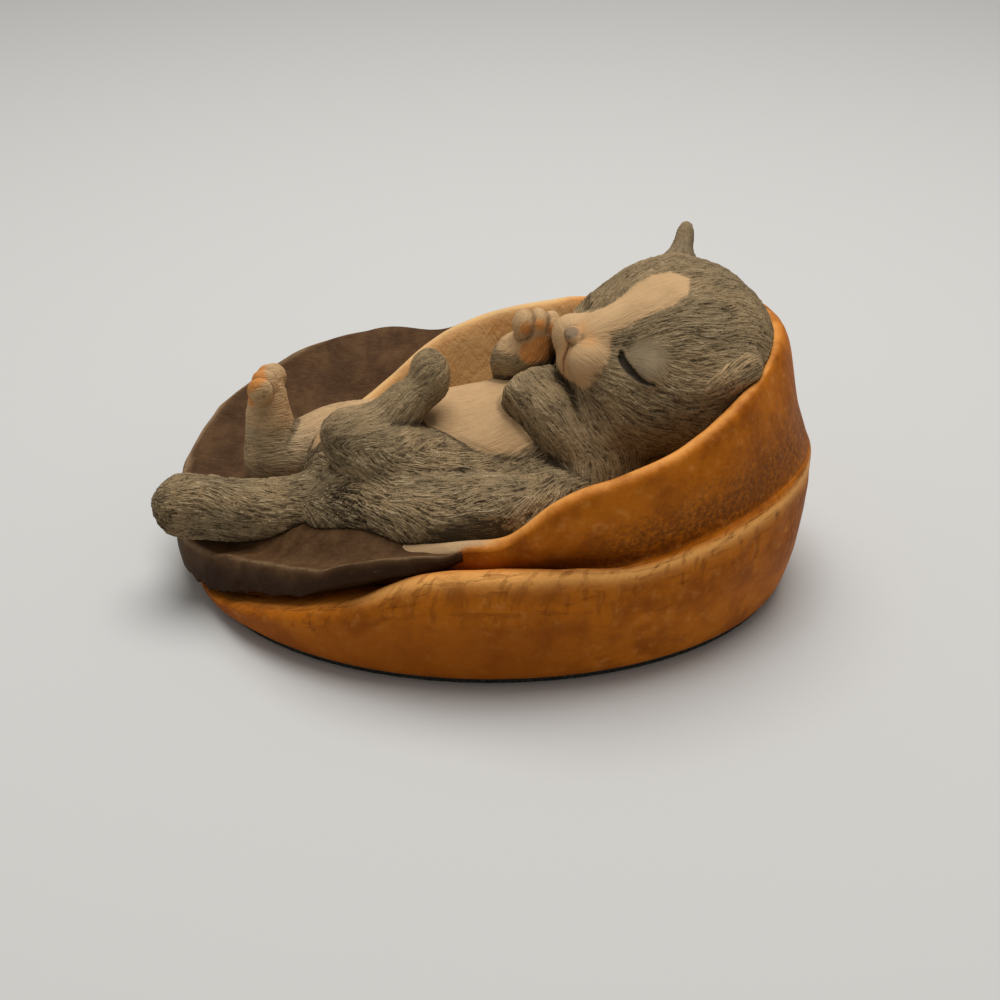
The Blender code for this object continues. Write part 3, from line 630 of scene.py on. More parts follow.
def in_reach(low, high):
    """The part of the clay block between two corners: its slices and its x, y and z."""
    first = np.clip(np.floor((low - CLAY_LOW) / CLAY_STEP).astype(int), 0, CLAY_SHAPE)
    stop = np.clip(np.ceil((high - CLAY_LOW) / CLAY_STEP).astype(int) + 1, 0, CLAY_SHAPE)
    slices = tuple(slice(a, b) for a, b in zip(first, stop))
    x, y, z = (axis[cut] for axis, cut in zip(clay_axes, slices))
    return slices, x[:, None, None], y[None, :, None], z[None, None, :]


def melt(one, other, soft):
    """The union of two lumps, blended over a soft joint."""
    share = np.clip(0.5 + 0.5 * (one - other) / soft, 0, 1)
    return one + (other - one) * share - soft * share * (1 - share)


def limb_curve(joints, steps=4):
    """Joints in close order on a smooth curve through the given ones."""
    path = np.array([joints[0], *joints, joints[-1]], float)
    made = []
    for k in range(len(joints) - 1):
        a, b, c, d = path[k:k + 4]
        for t in np.arange(steps) / steps:
            bend = (2 * a - 5 * b + 4 * c - d) * t * t + (3 * b - a - 3 * c + d) * t**3
            made.append(b + 0.5 * ((c - a) * t + bend))
    return np.array(made + [path[-1]])


def add_limb(block, joints, soft=1.0):
    """A swelling and tapering roll of clay. The joints are x, y, z and radius."""
    path = limb_curve(joints)
    for a, b in zip(path, path[1:]):
        reach = max(a[3], b[3]) + CLAY_MARGIN
        slices, x, y, z = in_reach(np.minimum(a, b)[:3] - reach, np.maximum(a, b)[:3] + reach)
        x, y, z = x - a[0], y - a[1], z - a[2]
        bone = (b - a)[:3]
        share = np.clip((x * bone[0] + y * bone[1] + z * bone[2]) / (bone @ bone), 0, 1)
        away = (x - share * bone[0]) ** 2 + (y - share * bone[1]) ** 2 + (z - share * bone[2]) ** 2
        shape = np.sqrt(away) - (a[3] + share * (b[3] - a[3]))
        block[slices] = melt(block[slices], shape.astype(np.float32), soft)


clay["torso"] = fresh_clay()
add_limb(clay["torso"], [HIP, BELLY, CHEST, NECK], 2.0)
softness["torso"] = 2.0

FUR_DARK = (0.030, 0.020, 0.010, 1)
FUR_WASH = (0.072, 0.050, 0.027, 1)
FUR_MID = (0.258, 0.183, 0.097, 1)
FUR_WARM = (0.315, 0.215, 0.110, 1)
FUR_LIGHT = (0.465, 0.362, 0.222, 1)
CREAM = (0.58, 0.37, 0.185, 1)
CREAM_SHADE = (0.40, 0.235, 0.110, 1)
PAD_ORANGE = (0.61, 0.25, 0.070, 1)
NOSE_GREY = (0.165, 0.130, 0.090, 1)
LINE_BLACK = (0.012, 0.010, 0.008, 1)
FUR_RELIEF = 0.00009
# Fine strokes along the lie of the coat: steps to each side, length of a step and fineness
STROKE_STEPS = 3
STROKE_STEP = 0.00022
STROKES_PER_METRE = 4200

carved_coat = bpy.data.node_groups.new("carved_coat", "ShaderNodeTree")
for name in ("Coat", "Strokes"):
    carved_coat.interface.new_socket(name=name, in_out="OUTPUT", socket_type="NodeSocketFloat")
place = put(carved_coat, "TexCoord").outputs["Object"]
lie = put(carved_coat, "Attribute", attribute_name="lie").outputs["Vector"]
total = 0.0
for k in range(-STROKE_STEPS, STROKE_STEPS + 1):
    shift = put(carved_coat, "VectorMath", {0: lie, "Scale": STROKE_STEP * k}, operation="SCALE").outputs[0]
    moved = put(carved_coat, "VectorMath", {0: place, 1: shift}, operation="ADD").outputs[0]
    total = sums(carved_coat, "ADD", grain(carved_coat, moved, STROKES_PER_METRE, 0.0), total)
fine = times(carved_coat, sums(carved_coat, "SUBTRACT", total, STROKE_STEPS + 0.5), 1.5)
fine = times(carved_coat, fine, mark(carved_coat, "deep"))
patches = times(carved_coat, sums(carved_coat, "SUBTRACT", grain(carved_coat, place, 260, 4), 0.5), 2.0)
coat = times(carved_coat, mark(carved_coat, "coat"), mark(carved_coat, "deep"))
coat = sums(carved_coat, "ADD", times(carved_coat, coat, 0.75), sums(carved_coat, "ADD", fine, patches))
outside = carved_coat.nodes.new("NodeGroupOutput")
carved_coat.links.new(coat, outside.inputs["Coat"])
carved_coat.links.new(fine, outside.inputs["Strokes"])


def coat_paint(name, mid, warm, light):
    """Paint of the coat: a thin dark brown that sits in the grooves, the coat's own tone, a light dry brush
    on top, and painted shade.
    """
    made, tree, shader, place = finish(name, roughness=0.75, specular=0.08)
    carved = tree.nodes.new("ShaderNodeGroup")
    carved.node_tree = carved_coat
    coat = carved.outputs["Coat"]
    plain = tint(tree, step(tree, grain(tree, place, 130, 3), 0.42, 0.62), mid, warm)
    plain = tint(tree, step(tree, coat, -1.8, 0.4), FUR_WASH, plain)
    plain = tint(tree, times(tree, step(tree, coat, 0.3, 2.0), 0.85), plain, light)
    pale = tint(tree, step(tree, coat, -1.6, 0.6), CREAM_SHADE, CREAM)
    edge = sums(tree, "ADD", mark(tree, "cream"), times(tree, coat, 0.12))
    paint = tint(tree, step(tree, edge, 0.25, 0.75), plain, pale)
    paint = tint(tree, mark(tree, "pad"), paint, PAD_ORANGE)
    gaps = sums(tree, "SUBTRACT", 0.95, times(tree, step(tree, coat, -0.6, 1.4), 0.6))
    # Painted shade in the creases, where the kitten lies on the cap and at the deep locks, less on raised
    # coat
    paint = tint(tree, times(tree, mark(tree, "wash"), gaps), paint, FUR_DARK)
    paint = tint(tree, mark(tree, "grey"), paint, NOSE_GREY)
    paint = tint(tree, mark(tree, "line"), paint, LINE_BLACK)
    tree.links.new(paint, shader.inputs["Base Color"])
    relief(tree, shader, carved.outputs["Strokes"], FUR_RELIEF)
    return made


fur = coat_paint("fur", FUR_MID, FUR_WARM, FUR_LIGHT)


def flank_lie(points):
    """The coat runs back from the chest to the rump, in wide arcs under the belly."""
    turn = np.radians(np.interp(points[:, 0], FLANK_X, FLANK_SLOPES))[:, None]
    return -np.cos(turn) * (1, 0, 0) - np.sin(turn) * DOWN_FLANK


def belly_cream(points):
    edge = np.interp(points[:, 0], BELLY_X, BELLY_EDGE)
    return ease((points[:, 1] - edge) / 2.2 + 0.5) * ramp(points[:, 2], 22, 3)


def torso_depth(points):
    return 1 - 0.8 * belly_cream(points)


coats["torso"] = {"lie": flank_lie, "depth": torso_depth, "cream": belly_cream}

# Head
# The kitten's head, asleep and turned to the viewer, with a cream blaze and muzzle, a small grey nose and
# closed eyes scored into it. It is cast alone and pegged to the chest.
HEAD = np.array([25.3, -2.0, 37.4])
HEAD_FRONT = (-0.19, -0.35, 0.91)
HEAD_CROWN = np.array([0.918, 0.2655, 0.296])
# Places on the head: millimetres to its right, up to its crown and ahead of its middle
NOSE = (0.0, -13.7, 12.3)
NOSE_PAD = (0, -13.8, 13.0)
NOSTRILS = [(-0.8, -14.5, 12.9), (0.8, -14.5, 12.9)]
BLUSHES = [(0, -12.4, 12.6), (-2.4, -12.0, 12.4)]
MUZZLE_TIP = (0, -14, 11)
# Lumps of the head: place, radii and softness
HEAD_LUMPS = [
    ((0, 1.5, -0.5), (16.4, 14.8, 14.0), 2.5), ((6.6, -6.0, 1.0), (7.2, 7.6, 7.0), 3.0),
    ((-7.4, -6.0, 1.6), (7.6, 8.0, 7.6), 3.0), ((4.4, -10.8, 4.2), (4.8, 4.6, 5.0), 2.5),
    ((-4.4, -10.8, 4.2), (4.8, 4.6, 5.0), 2.5), ((0, -10.8, 6.8), (6.0, 5.4, 5.4), 2.5),
    ((0, -14.4, 6.0), (2.8, 2.2, 2.8), 1.5), ((0, -6.6, 10.4), (2.8, 7.2, 2.8), 2.2),
    ((3.1, -12.9, 8.9), (3.2, 3.1, 3.4), 0.9), ((-3.1, -12.9, 8.9), (3.2, 3.1, 3.4), 0.9),
    ((7.2, -6.6, 7.6), (3.2, 2.6, 2.2), 0.9), ((-8.2, -6.0, 8.2), (4.0, 2.9, 2.6), 0.9),
    (NOSE, (1.5, 1.15, 0.7), 0.6),
]
# Scored lines: places and half widths
EYE_SLIT = [
    (-5.1, -8.4, 10.3, 0.28), (-5.9, -8.7, 9.9, 0.5), (-7.3, -8.8, 9.7, 0.62), (-8.8, -8.6, 9.6, 0.62),
    (-10.2, -7.7, 9.0, 0.5), (-11.6, -6.4, 8.5, 0.25),
]
MOUTH = [
    (0.0, -14.9, 12.2, 0.35), (-0.5, -15.4, 10.8, 0.45), (-0.7, -16.0, 8.9, 0.4), (-1.4, -16.5, 7.0, 0.25),
]
# Half width of the blaze at some heights on the face
BLAZE_UP = [-9, -4, 1, 3.6, 5.2, 6.5]
BLAZE_WIDTHS = [3.0, 3.1, 3.9, 3.0, 0.2, -3]
SKIN_PROBE = 0.3


def unit(vector):
    vector = np.asarray(vector, float)
    return vector / np.linalg.norm(vector)


head_front = unit(HEAD_FRONT)
head_crown = unit(HEAD_CROWN - head_front * (HEAD_CROWN @ head_front))
head_right = np.cross(head_front, head_crown)
head_axes = np.array([head_right, head_crown, head_front])


def on_head(side, up, ahead):
    return HEAD + side * head_right + up * head_crown + ahead * head_front


def in_head(points):
    return ((points - HEAD) @ head_axes.T).T


def add_lump(block, centre, radii, axes, soft=1.5):
    """An ellipsoid of clay."""
    centre, radii = np.asarray(centre, float), np.asarray(radii, float)
    reach = np.sqrt(((np.asarray(axes) * radii[:, None]) ** 2).sum(axis=0)) + CLAY_MARGIN
    slices, x, y, z = in_reach(centre - reach, centre + reach)
    x, y, z = x - centre[0], y - centre[1], z - centre[2]
    near, slope = 0.0, 0.0
    for axis, radius in zip(np.asarray(axes, np.float32), radii):
        part = (x * axis[0] + y * axis[1] + z * axis[2]) / np.float32(radius)
        near = near + part * part
        slope = slope + (part / np.float32(radius)) ** 2
    near = np.sqrt(near)
    shape = near * (near - 1) / np.maximum(1e-4, np.sqrt(slope))
    block[slices] = melt(block[slices], np.where(near < 0.02, -radii.min(), shape), soft)


def sample(block, points):
    """Values of a clay block at points."""
    where = (points - CLAY_LOW) / CLAY_STEP
    low = np.clip(np.floor(where).astype(int), 0, np.array(CLAY_SHAPE) - 2)
    share = where - low
    total = 0.0
    for corner in range(8):
        bits = np.array([corner & 1, corner >> 1 & 1, corner >> 2 & 1])
        i, j, k = (low + bits).T
        total = total + np.prod(np.where(bits, share, 1 - share), axis=1) * block[i, j, k]
    return total


def on_skin(block, points):
    """Moves points onto the skin of a block of clay."""
    points = np.array(points, float)
    for _ in range(6):
        probes = SKIN_PROBE * np.eye(3)
        slope = [sample(block, points + probe) - sample(block, points - probe) for probe in probes]
        slope = np.stack(slope, axis=1) / (2 * SKIN_PROBE)
        points -= slope * (sample(block, points) / np.maximum(0.2, (slope**2).sum(axis=1)))[:, None]
    return points


def face_line(line, side=1):
    """A fine line through some places on the skin of the head, with the places' widths."""
    path = limb_curve([(*on_head(side * a, b, c), width) for a, b, c, width in line], 6)
    path[:, :3] = on_skin(clay["head"], path[:, :3])
    return path


def score(block, path, share):
    """Scores a groove along a line on the skin, at a share of the line's width."""
    groove = fresh_clay()
    add_limb(groove, [(*at[:3], share * at[3]) for at in path[::3]], 0.2)
    np.maximum(block, -groove, out=block)


clay["head"] = fresh_clay()
for at, radii, soft in HEAD_LUMPS:
    add_lump(clay["head"], on_head(*at), radii, head_axes, soft)
near_eye, far_eye, mouth = face_line(EYE_SLIT), face_line(EYE_SLIT, -1), face_line(MOUTH)
score(clay["head"], near_eye, 0.8)
score(clay["head"], mouth, 0.7)
softness["head"] = 1.2


def near_spots(points, spots, soft):
    """A mask round some spots, each with its place and radius."""
    gaps = [np.linalg.norm(points - np.array(at), axis=1) - radius for *at, radius in spots]
    return ease(0.5 - np.min(gaps, axis=0) / soft)


def head_lie(points):
    """The coat runs back from the muzzle."""
    return points - on_head(*MUZZLE_TIP)


def blaze(points):
    side, up, ahead = in_head(points)
    width = np.interp(up, BLAZE_UP, BLAZE_WIDTHS)
    stripe = ease((width - np.abs(side - 0.4)) / 2.2 + 0.5) * (up > -11)
    muzzle = 1 - (side / 6.4) ** 2 - (np.maximum(0, up + 13) / 4.6) ** 2
    muzzle = ease(muzzle / 0.8 + 0.5) * ramp(ahead, 5, 3) * (up < -7)
    return np.maximum(stripe * ramp(ahead, 4, 3), muzzle)


def head_depth(points):
    lids = near_spots(points, [(*on_head(-8.2, -6.2, 9.6), 3.6)], 1.5)
    return np.maximum(0.1, 0.8 - 0.6 * blaze(points) - 0.6 * lids)


def blush(points):
    flushed = [*mouth[::4, :3], *(on_head(*at) for at in BLUSHES)]
    return 0.4 * near_spots(points, [(*at, 1.2) for at in flushed], 2.0)


def face_lines(points):
    near_slit, far_slit, lips = (near_spots(points, path, 0.3) for path in (near_eye, far_eye, mouth))
    nostrils = near_spots(points, [(*on_head(*at), 0.3) for at in NOSTRILS], 0.4)
    return np.maximum.reduce([near_slit, 0.35 * far_slit, 0.2 * lips, 0.7 * nostrils])


def nose_grey(points):
    """The nose is grey, and a little of its paint is on the near lid."""
    nose = near_spots(points, [(*on_head(*NOSE_PAD), 1.25)], 0.6)
    lids = near_spots(points, [(*on_head(-8.2, -6.2, 10.2), 3.0)], 2.0)
    return np.maximum(0.75 * nose, 0.4 * lids)


coats["head"] = {
    "lie": head_lie, "depth": head_depth, "cream": blaze, "pads": blush,
    "lines": face_lines, "grey": nose_grey,
}

# Ears
# Two small leaves of resin on the head, each held by a peg. The far one stands up, and the near one is
# folded flat between the head and the cap.
RIGHT_EAR = [(12.2, 7.6, 4.3, 2.5), (15.1, 10.0, 5.4, 1.25), (17.8, 12.0, 6.4, 0.85)]
LEFT_EAR = [(-12.9, 7.0, 5.2, 2.0), (-13.5, 3.5, 5.6, 1.6), (-13.6, 0.6, 5.6, 0.9)]
for name, leaf in (("right_ear", RIGHT_EAR), ("left_ear", LEFT_EAR)):
    clay[name] = fresh_clay()
    add_limb(clay[name], [(*on_head(*at), radius) for *at, radius in leaf])
    softness[name] = 2.5


def even(amount):
    return lambda points: np.full(len(points), amount)


def toward(direction):
    return lambda points: np.tile(np.asarray(direction, float), (len(points), 1))


coats["right_ear"] = {
    "lie": toward(on_head(19, 12, 6.7) - on_head(12, 7, 4.2)),
    "depth": even(0.6), "grey": even(0.3),
}
coats["left_ear"] = {
    "lie": toward(on_head(-14.6, 3, 6.4) - on_head(-13.6, 7.5, 5.6)),
    "depth": even(0.8), "cream": even(0.4),
}

# Forelegs
# The near foreleg lies over the chest. The far paw is raised beside the muzzle and shows its orange pads.
# Both are cast alone and pegged to the chest.
LEFT_FORELEG = [
    (15.8, -13.5, 21.5, 5.6), (12.8, -12.8, 26.4, 4.9), (9.5, -11.6, 30.2, 4.3), (6.4, -9.8, 33.2, 3.9),
]
LEFT_FINGERS = (4.3, -7.4, 35.2, 3.2)
LEFT_PAW_SPREAD, LEFT_PAW_DEPTH = (0.5, 0.75, 0.4), 3.2
RIGHT_FORELEG = [(13.0, 9.0, 24.0, 5.8), (6.5, 6.5, 30.5, 5.0), (2.8, 2.0, 34.6, 3.8), (4.7, 0.0, 37.0, 3.4)]
RIGHT_FINGERS = (6.7, -0.5, 42.4, 2.6)
RIGHT_PAW_SPREAD, RIGHT_PAW_DEPTH = (0.9, 0.25, -0.3), 2.6
FAR_PAW_PADS = [
    (3.8, -3.2, 42.6, 0.9), (5.9, -2.8, 43.0, 0.9), (7.9, -2.4, 42.0, 0.9),
    (6.2, -2.8, 39.2, 2.0), (4.6, -3.1, 38.6, 1.7),
]
TOE = 1.75
clay_x, clay_z = clay_axes[0][:, None, None], clay_axes[2][None, None, :]


def add_paw(block, wrist, toes, spread, depth, soft=0.6):
    """A paw: a palm, and four toes side by side along spread."""
    wrist, toes = np.asarray(wrist, float)[:3], np.asarray(toes, float)[:3]
    ahead = unit(toes - wrist)
    wide = unit(spread - ahead * np.dot(spread, ahead))
    axes = np.array([wide, ahead, np.cross(wide, ahead)])
    palm = (2.0 * TOE, 0.62 * np.linalg.norm(toes - wrist), depth)
    add_lump(block, between(wrist, toes, 0.55), palm, axes)
    for k in (-1.5, -0.5, 0.5, 1.5):
        end = toes + wide * (1.25 * k * TOE) - ahead * (0.35 * abs(k) * TOE)
        add_lump(block, end, (0.82 * TOE, 1.25 * TOE, 0.9 * depth), axes, soft)


clay["left_foreleg"] = fresh_clay()
add_limb(clay["left_foreleg"], LEFT_FORELEG, 1.5)
add_paw(clay["left_foreleg"], LEFT_FORELEG[-1], LEFT_FINGERS, LEFT_PAW_SPREAD, LEFT_PAW_DEPTH, 2.0)
softness["left_foreleg"] = 1.2 + 4.0 * ramp(clay_x, 9, 5)
clay["right_foreleg"] = fresh_clay()
add_limb(clay["right_foreleg"], RIGHT_FORELEG, 1.5)
add_paw(clay["right_foreleg"], RIGHT_FORELEG[-1], RIGHT_FINGERS, RIGHT_PAW_SPREAD, RIGHT_PAW_DEPTH)
softness["right_foreleg"] = 1.0


def along_bones(joints):
    """The coat follows a limb: for each point the direction of the bone that it is on."""
    path = limb_curve(joints)[:, :3]
    middles, directions = (path[1:] + path[:-1]) / 2, path[1:] - path[:-1]

    def lie(points):
        gaps = np.linalg.norm(points[:, None, :] - middles[None], axis=2)
        return directions[gaps.argmin(axis=1)]

    return lie


def far_paw_cream(points):
    return 0.75 * ramp(points[:, 2], 36, 3)


def far_paw_pads(points):
    return near_spots(points, FAR_PAW_PADS, 0.9)


coats["left_foreleg"] = {"lie": along_bones([*LEFT_FORELEG, LEFT_FINGERS]), "depth": even(0.75)}
coats["right_foreleg"] = {
    "lie": along_bones([*RIGHT_FORELEG, RIGHT_FINGERS]), "depth": even(0.4),
    "cream": far_paw_cream, "pads": far_paw_pads,
}

# Hind legs
# The near leg is folded, with its haunch against the flank and its foot in the air. The far foot stands on
# its heel on the brim, paler than the rest, with orange pads. Both are cast alone and pegged to the torso.
LEFT_KNEE, LEFT_HEEL = (-7.0, -15.2, 21.5, 6.0), (-22.7, -12.6, 29.8, 2.9)
LEFT_HAUNCH = [(-20.4, -13.4, 19.0, 7.3), (-13.0, -14.5, 20.5, 8.5), LEFT_KNEE]
LEFT_SHIN = [LEFT_KNEE, (-16.0, -14.0, 26.4, 5.0), LEFT_HEEL]
LEFT_FOOT = [LEFT_HEEL, (-17.6, -11.2, 30.8, 2.5), (-13.0, -9.6, 34.2, 2.7)]
LEFT_TOES = (-10.3, -8.2, 37.2)
LEFT_TOES_RADII = (4.1, 3.0, 3.2)
LEFT_TOES_WIDE, LEFT_TOES_AHEAD = (0.05, 0.43, 0.85), (0.94, 0.25, -0.1)
# The coat that hangs from the haunch along the flank
LEFT_SKIRT = [
    (-24.5, -14.6, 17.0, 4.2), (-20.5, -16.6, 18.6, 4.4), (-15.5, -19.2, 20.0, 4.8),
    (-10.5, -22.6, 20.6, 5.2), (-3.0, -23.8, 21.6, 5.0), (3.0, -23.4, 22.2, 4.2), (9.0, -19.5, 22.4, 3.2),
]
RIGHT_HEEL, RIGHT_TOES = (-36.6, 3.6, 16.8, 3.9), (-36.4, 4.4, 30.7, 2.6)
RIGHT_LEG = [(-16.0, 8.5, 17.0, 7.0), (-25.0, 5.5, 18.5, 6.2), (-31.0, 4.2, 17.5, 4.9), RIGHT_HEEL]
RIGHT_FOOT_SPREAD, RIGHT_FOOT_DEPTH = (0.2, 1.0, 0.0), 2.3
FAR_FOOT_PADS = [
    (-38.2, 1.8, 31.9, 2.2), (-38.6, 4.2, 31.9, 2.2), (-38.4, 6.4, 31.7, 2.2), (-39.0, 2.6, 29.2, 2.2),
]
# Places where the locks are carved deep and get painted shade, with their radius: at the foot of the haunch
# and the tail's tip
DEEP_SHADED_LOCKS = [
    (-23.2, -19.5, 22.6, 2.2), (-21.0, -21.5, 21.6, 2.2), (-18.0, -23.0, 21.4, 1.6),
    (-24.5, -16.0, 21.0, 1.6), (-51.0, -12.0, 14.0, 2.0),
]
PALE_MID = (0.43, 0.31, 0.175, 1)
PALE_WARM = (0.50, 0.345, 0.19, 1)
PALE_LIGHT = (0.63, 0.47, 0.285, 1)

clay["left_hind_leg"] = fresh_clay()
add_limb(clay["left_hind_leg"], LEFT_HAUNCH, 1.5)
add_limb(clay["left_hind_leg"], LEFT_SHIN, 2.8)
add_limb(clay["left_hind_leg"], LEFT_FOOT, 2.0)
toes_wide, toes_ahead = unit(LEFT_TOES_WIDE), unit(LEFT_TOES_AHEAD)
toes_axes = np.array([toes_wide, toes_ahead, np.cross(toes_wide, toes_ahead)])
add_lump(clay["left_hind_leg"], LEFT_TOES, LEFT_TOES_RADII, toes_axes, 1.8)
add_limb(clay["left_hind_leg"], LEFT_SKIRT, 3.0)
softness["left_hind_leg"] = 1.2 + 5.5 * ramp(clay_z, 29.5, -4) * ramp(clay_x, -22, 4)
clay["right_hind_leg"] = fresh_clay()
right_heel, right_toes = np.array(RIGHT_HEEL), np.array(RIGHT_TOES)
add_limb(clay["right_hind_leg"], RIGHT_LEG, 1.5)
add_limb(clay["right_hind_leg"], [RIGHT_HEEL, between(right_heel, right_toes, 0.7)], 1.5)
instep = between(right_heel, right_toes, 0.68)
add_paw(clay["right_hind_leg"], instep, RIGHT_TOES, RIGHT_FOOT_SPREAD, RIGHT_FOOT_DEPTH)
softness["right_hind_leg"] = 2.0

pale_fur = coat_paint("pale_fur", PALE_MID, PALE_WARM, PALE_LIGHT)
shin_lie = along_bones(LEFT_SHIN)


def near_leg_lie(points):
    """The coat of the flank runs on over the haunch, and turns along the shin and the foot above it."""
    height = points[:, 2:]
    above = ramp(height, 29, 3)
    along_foot = shin_lie(points) * (height < 30)
    along_foot = along_foot + (np.array(LEFT_TOES) - np.array(LEFT_HEEL[:3])) * (height >= 30)
    return flank_lie(points) * (1 - above) + along_foot * above


def near_leg_depth(points):
    return 1 - 0.4 * ramp(points[:, 2], 29, 4) + 0.9 * near_spots(points, DEEP_SHADED_LOCKS, 5.0)


def near_foot_cream(points):
    return 0.3 * ramp(points[:, 2], 29, 4)


def far_foot_cream(points):
    return 0.62 * ramp(points[:, 2], 20, 6)


def far_foot_pads(points):
    return near_spots(points, FAR_FOOT_PADS, 1.0)


coats["left_hind_leg"] = {"lie": near_leg_lie, "depth": near_leg_depth, "cream": near_foot_cream}
coats["right_hind_leg"] = {
    "lie": along_bones(RIGHT_LEG), "material": pale_fur, "slot": "pale_fur",
    "depth": even(0.4), "cream": far_foot_cream, "pads": far_foot_pads,
}

# Tail
# A thick club of a tail with a full coat. It is cast alone, laid on the brim and pegged to the rump.
TAIL = [
    (-21.0, -6.0, 14.0, 6.0), (-26.0, -10.2, 15.8, 5.8), (-31.5, -10.6, 15.4, 4.8), (-40.0, -10.2, 15.4, 4.3),
    (-46.0, -9.4, 15.6, 4.2), (-49.0, -9.2, 15.6, 4.2),
]
clay["tail"] = fresh_clay()
add_limb(clay["tail"], TAIL, 1.5)
softness["tail"] = 1.0
coats["tail"] = {"lie": along_bones(TAIL), "depth": even(1.0)}

# The kitten's castings, cut and carved
# The clay is joined into one kitten and pressed into the cap, then cut into its castings along their joints.
# Each casting is carved with a coat of pointed locks, painted, and takes the place of its plain solid.
BLEND_ORDER = (
    "torso", "head", "right_ear", "left_ear", "left_hind_leg", "right_hind_leg",
    "left_foreleg", "right_foreleg", "tail",
)
# How a casting draws in at its joints, and how far it reaches past them under its neighbours
JOINT_DRAW, JOINT_LAP = 1.5, 0.4
BED_STEP = 0.5
BED_DROP_FROM = 80
BED_SLOPE, BED_LIFT = 0.7, 0.1
GRID_BAND = 3.0
HOLLOW_REACH = 0.8
# Locks of the coat: ranges of length and width in millimetres and of lift, their number, bend and turn
LOCK_LENGTH, LOCK_WIDTH, LOCK_LIFT = (2.2, 4.6), (0.32, 0.62), (0.5, 1.0)
LOCKS_PER_MM2 = 2.0
LOCK_BEND, LOCK_TURN = 0.06, 0.11
GROOVE_WIDTH = 0.09
# Swirls of the coat: amount in radians and size
COAT_SWIRLS = ((0.32, 5.5), (0.16, 2.2))
STROKE_WIDTH, STROKE_LENGTH = 0.32, 2.0
# The carved height for one step of the coat, and the height and size of the lumps below it
COAT_HEIGHT, LUMP_HEIGHT, LUMP_SIZE = 0.14, 0.11, 3.0

whole, nearest, second = fresh_clay(), fresh_clay(), fresh_clay()
for name in BLEND_ORDER:
    shape = clay[name]
    whole = melt(whole, shape, np.float32(softness[name]))
    second = np.minimum(second, np.maximum(nearest, shape))
    nearest = np.minimum(nearest, shape)

# The bed of cloth and leather that the kitten lies on, as a height over each place
bed_tree = BVHTree.FromPolygons(
    [tuple(p) for p in np.concatenate([crown_points, brim_points])],
    [tuple(q) for q in np.concatenate([crown_quads, brim_quads + len(crown_points)])],
)
bed_x = np.arange(CLAY_LOW[0], CLAY_LOW[0] + CLAY_STEP * CLAY_SHAPE[0] + 1, BED_STEP)
bed_y = np.arange(CLAY_LOW[1], CLAY_LOW[1] + CLAY_STEP * CLAY_SHAPE[1] + 1, BED_STEP)
bed = np.zeros((len(bed_x), len(bed_y)), np.float32)
down = Vector((0, 0, -1))
for i, x in enumerate(bed_x):
    for j, y in enumerate(bed_y):
        hit = bed_tree.ray_cast(Vector((x, y, BED_DROP_FROM)), down)[0]
        bed[i, j] = hit.z if hit else 0


def finer(rows, coarse, fine):
    """Rows at fine places, between those at coarse places."""
    spread = (fine - coarse[0]) / BED_STEP
    low = np.floor(spread).astype(int)
    return rows[low] + (spread - low)[:, None] * (rows[low + 1] - rows[low])


bed_fine = finer(finer(bed, bed_x, clay_axes[0]).T, bed_y, clay_axes[1]).T
sunk = BED_SLOPE * (bed_fine[:, :, None] + BED_LIFT - clay_axes[2][None, None, :])


def casting(name):
    """Points and faces of one casting, cut from the whole kitten along the joints with its neighbours."""
    own = clay[name]
    others = np.where(own <= nearest, second, nearest)
    beyond = (own - others) / 2
    shape = np.maximum(whole + JOINT_DRAW * np.maximum(0, beyond), beyond - JOINT_LAP)
    shape = np.maximum(shape, sunk)
    near = np.argwhere(shape < 1.0)
    low, high = np.maximum(near.min(axis=0) - 3, 0), near.max(axis=0) + 4
    cut = shape[low[0]:high[0], low[1]:high[1], low[2]:high[2]]
    grid = openvdb.FloatGrid()
    grid.background = GRID_BAND
    grid.copyFromArray(np.ascontiguousarray(np.clip(cut, -GRID_BAND, GRID_BAND)))
    points, _, quads = grid.convertToPolygons(isovalue=0.0, adaptivity=0.0)
    points = CLAY_LOW + CLAY_STEP * (np.asarray(points, float) + low)
    quads = np.asarray(quads, np.int64)
    a, b, c, d = (points[quads[:, k]] for k in range(4))
    volume = np.einsum("ij,ij->", a, np.cross(b, c)) + np.einsum("ij,ij->", a, np.cross(c, d))
    return points, quads if volume > 0 else quads[:, ::-1], beyond


def comb(points, out, lie):
    """The lie of the coat on the skin, with its swirls."""
    flat = lie - out * np.einsum("ij,ij->i", lie, out)[:, None]
    flat /= np.maximum(1e-6, np.linalg.norm(flat, axis=1, keepdims=True))
    turn = sum(amount * clouds(points, size) for amount, size in COAT_SWIRLS)[:, None]
    return flat * np.cos(turn) + np.cross(out, flat) * np.sin(turn)


def strokes(points, lie):
    """Fur strokes: fine noise drawn out along the lie of the coat, with mean 0 and spread 1."""
    total = 0.0
    for k in range(-5, 6):
        total = total + clouds(points + lie * (STROKE_LENGTH * k / 10), STROKE_WIDTH)
    return (total - total.mean()) / total.std()


lock_draws = np.random.default_rng(23)


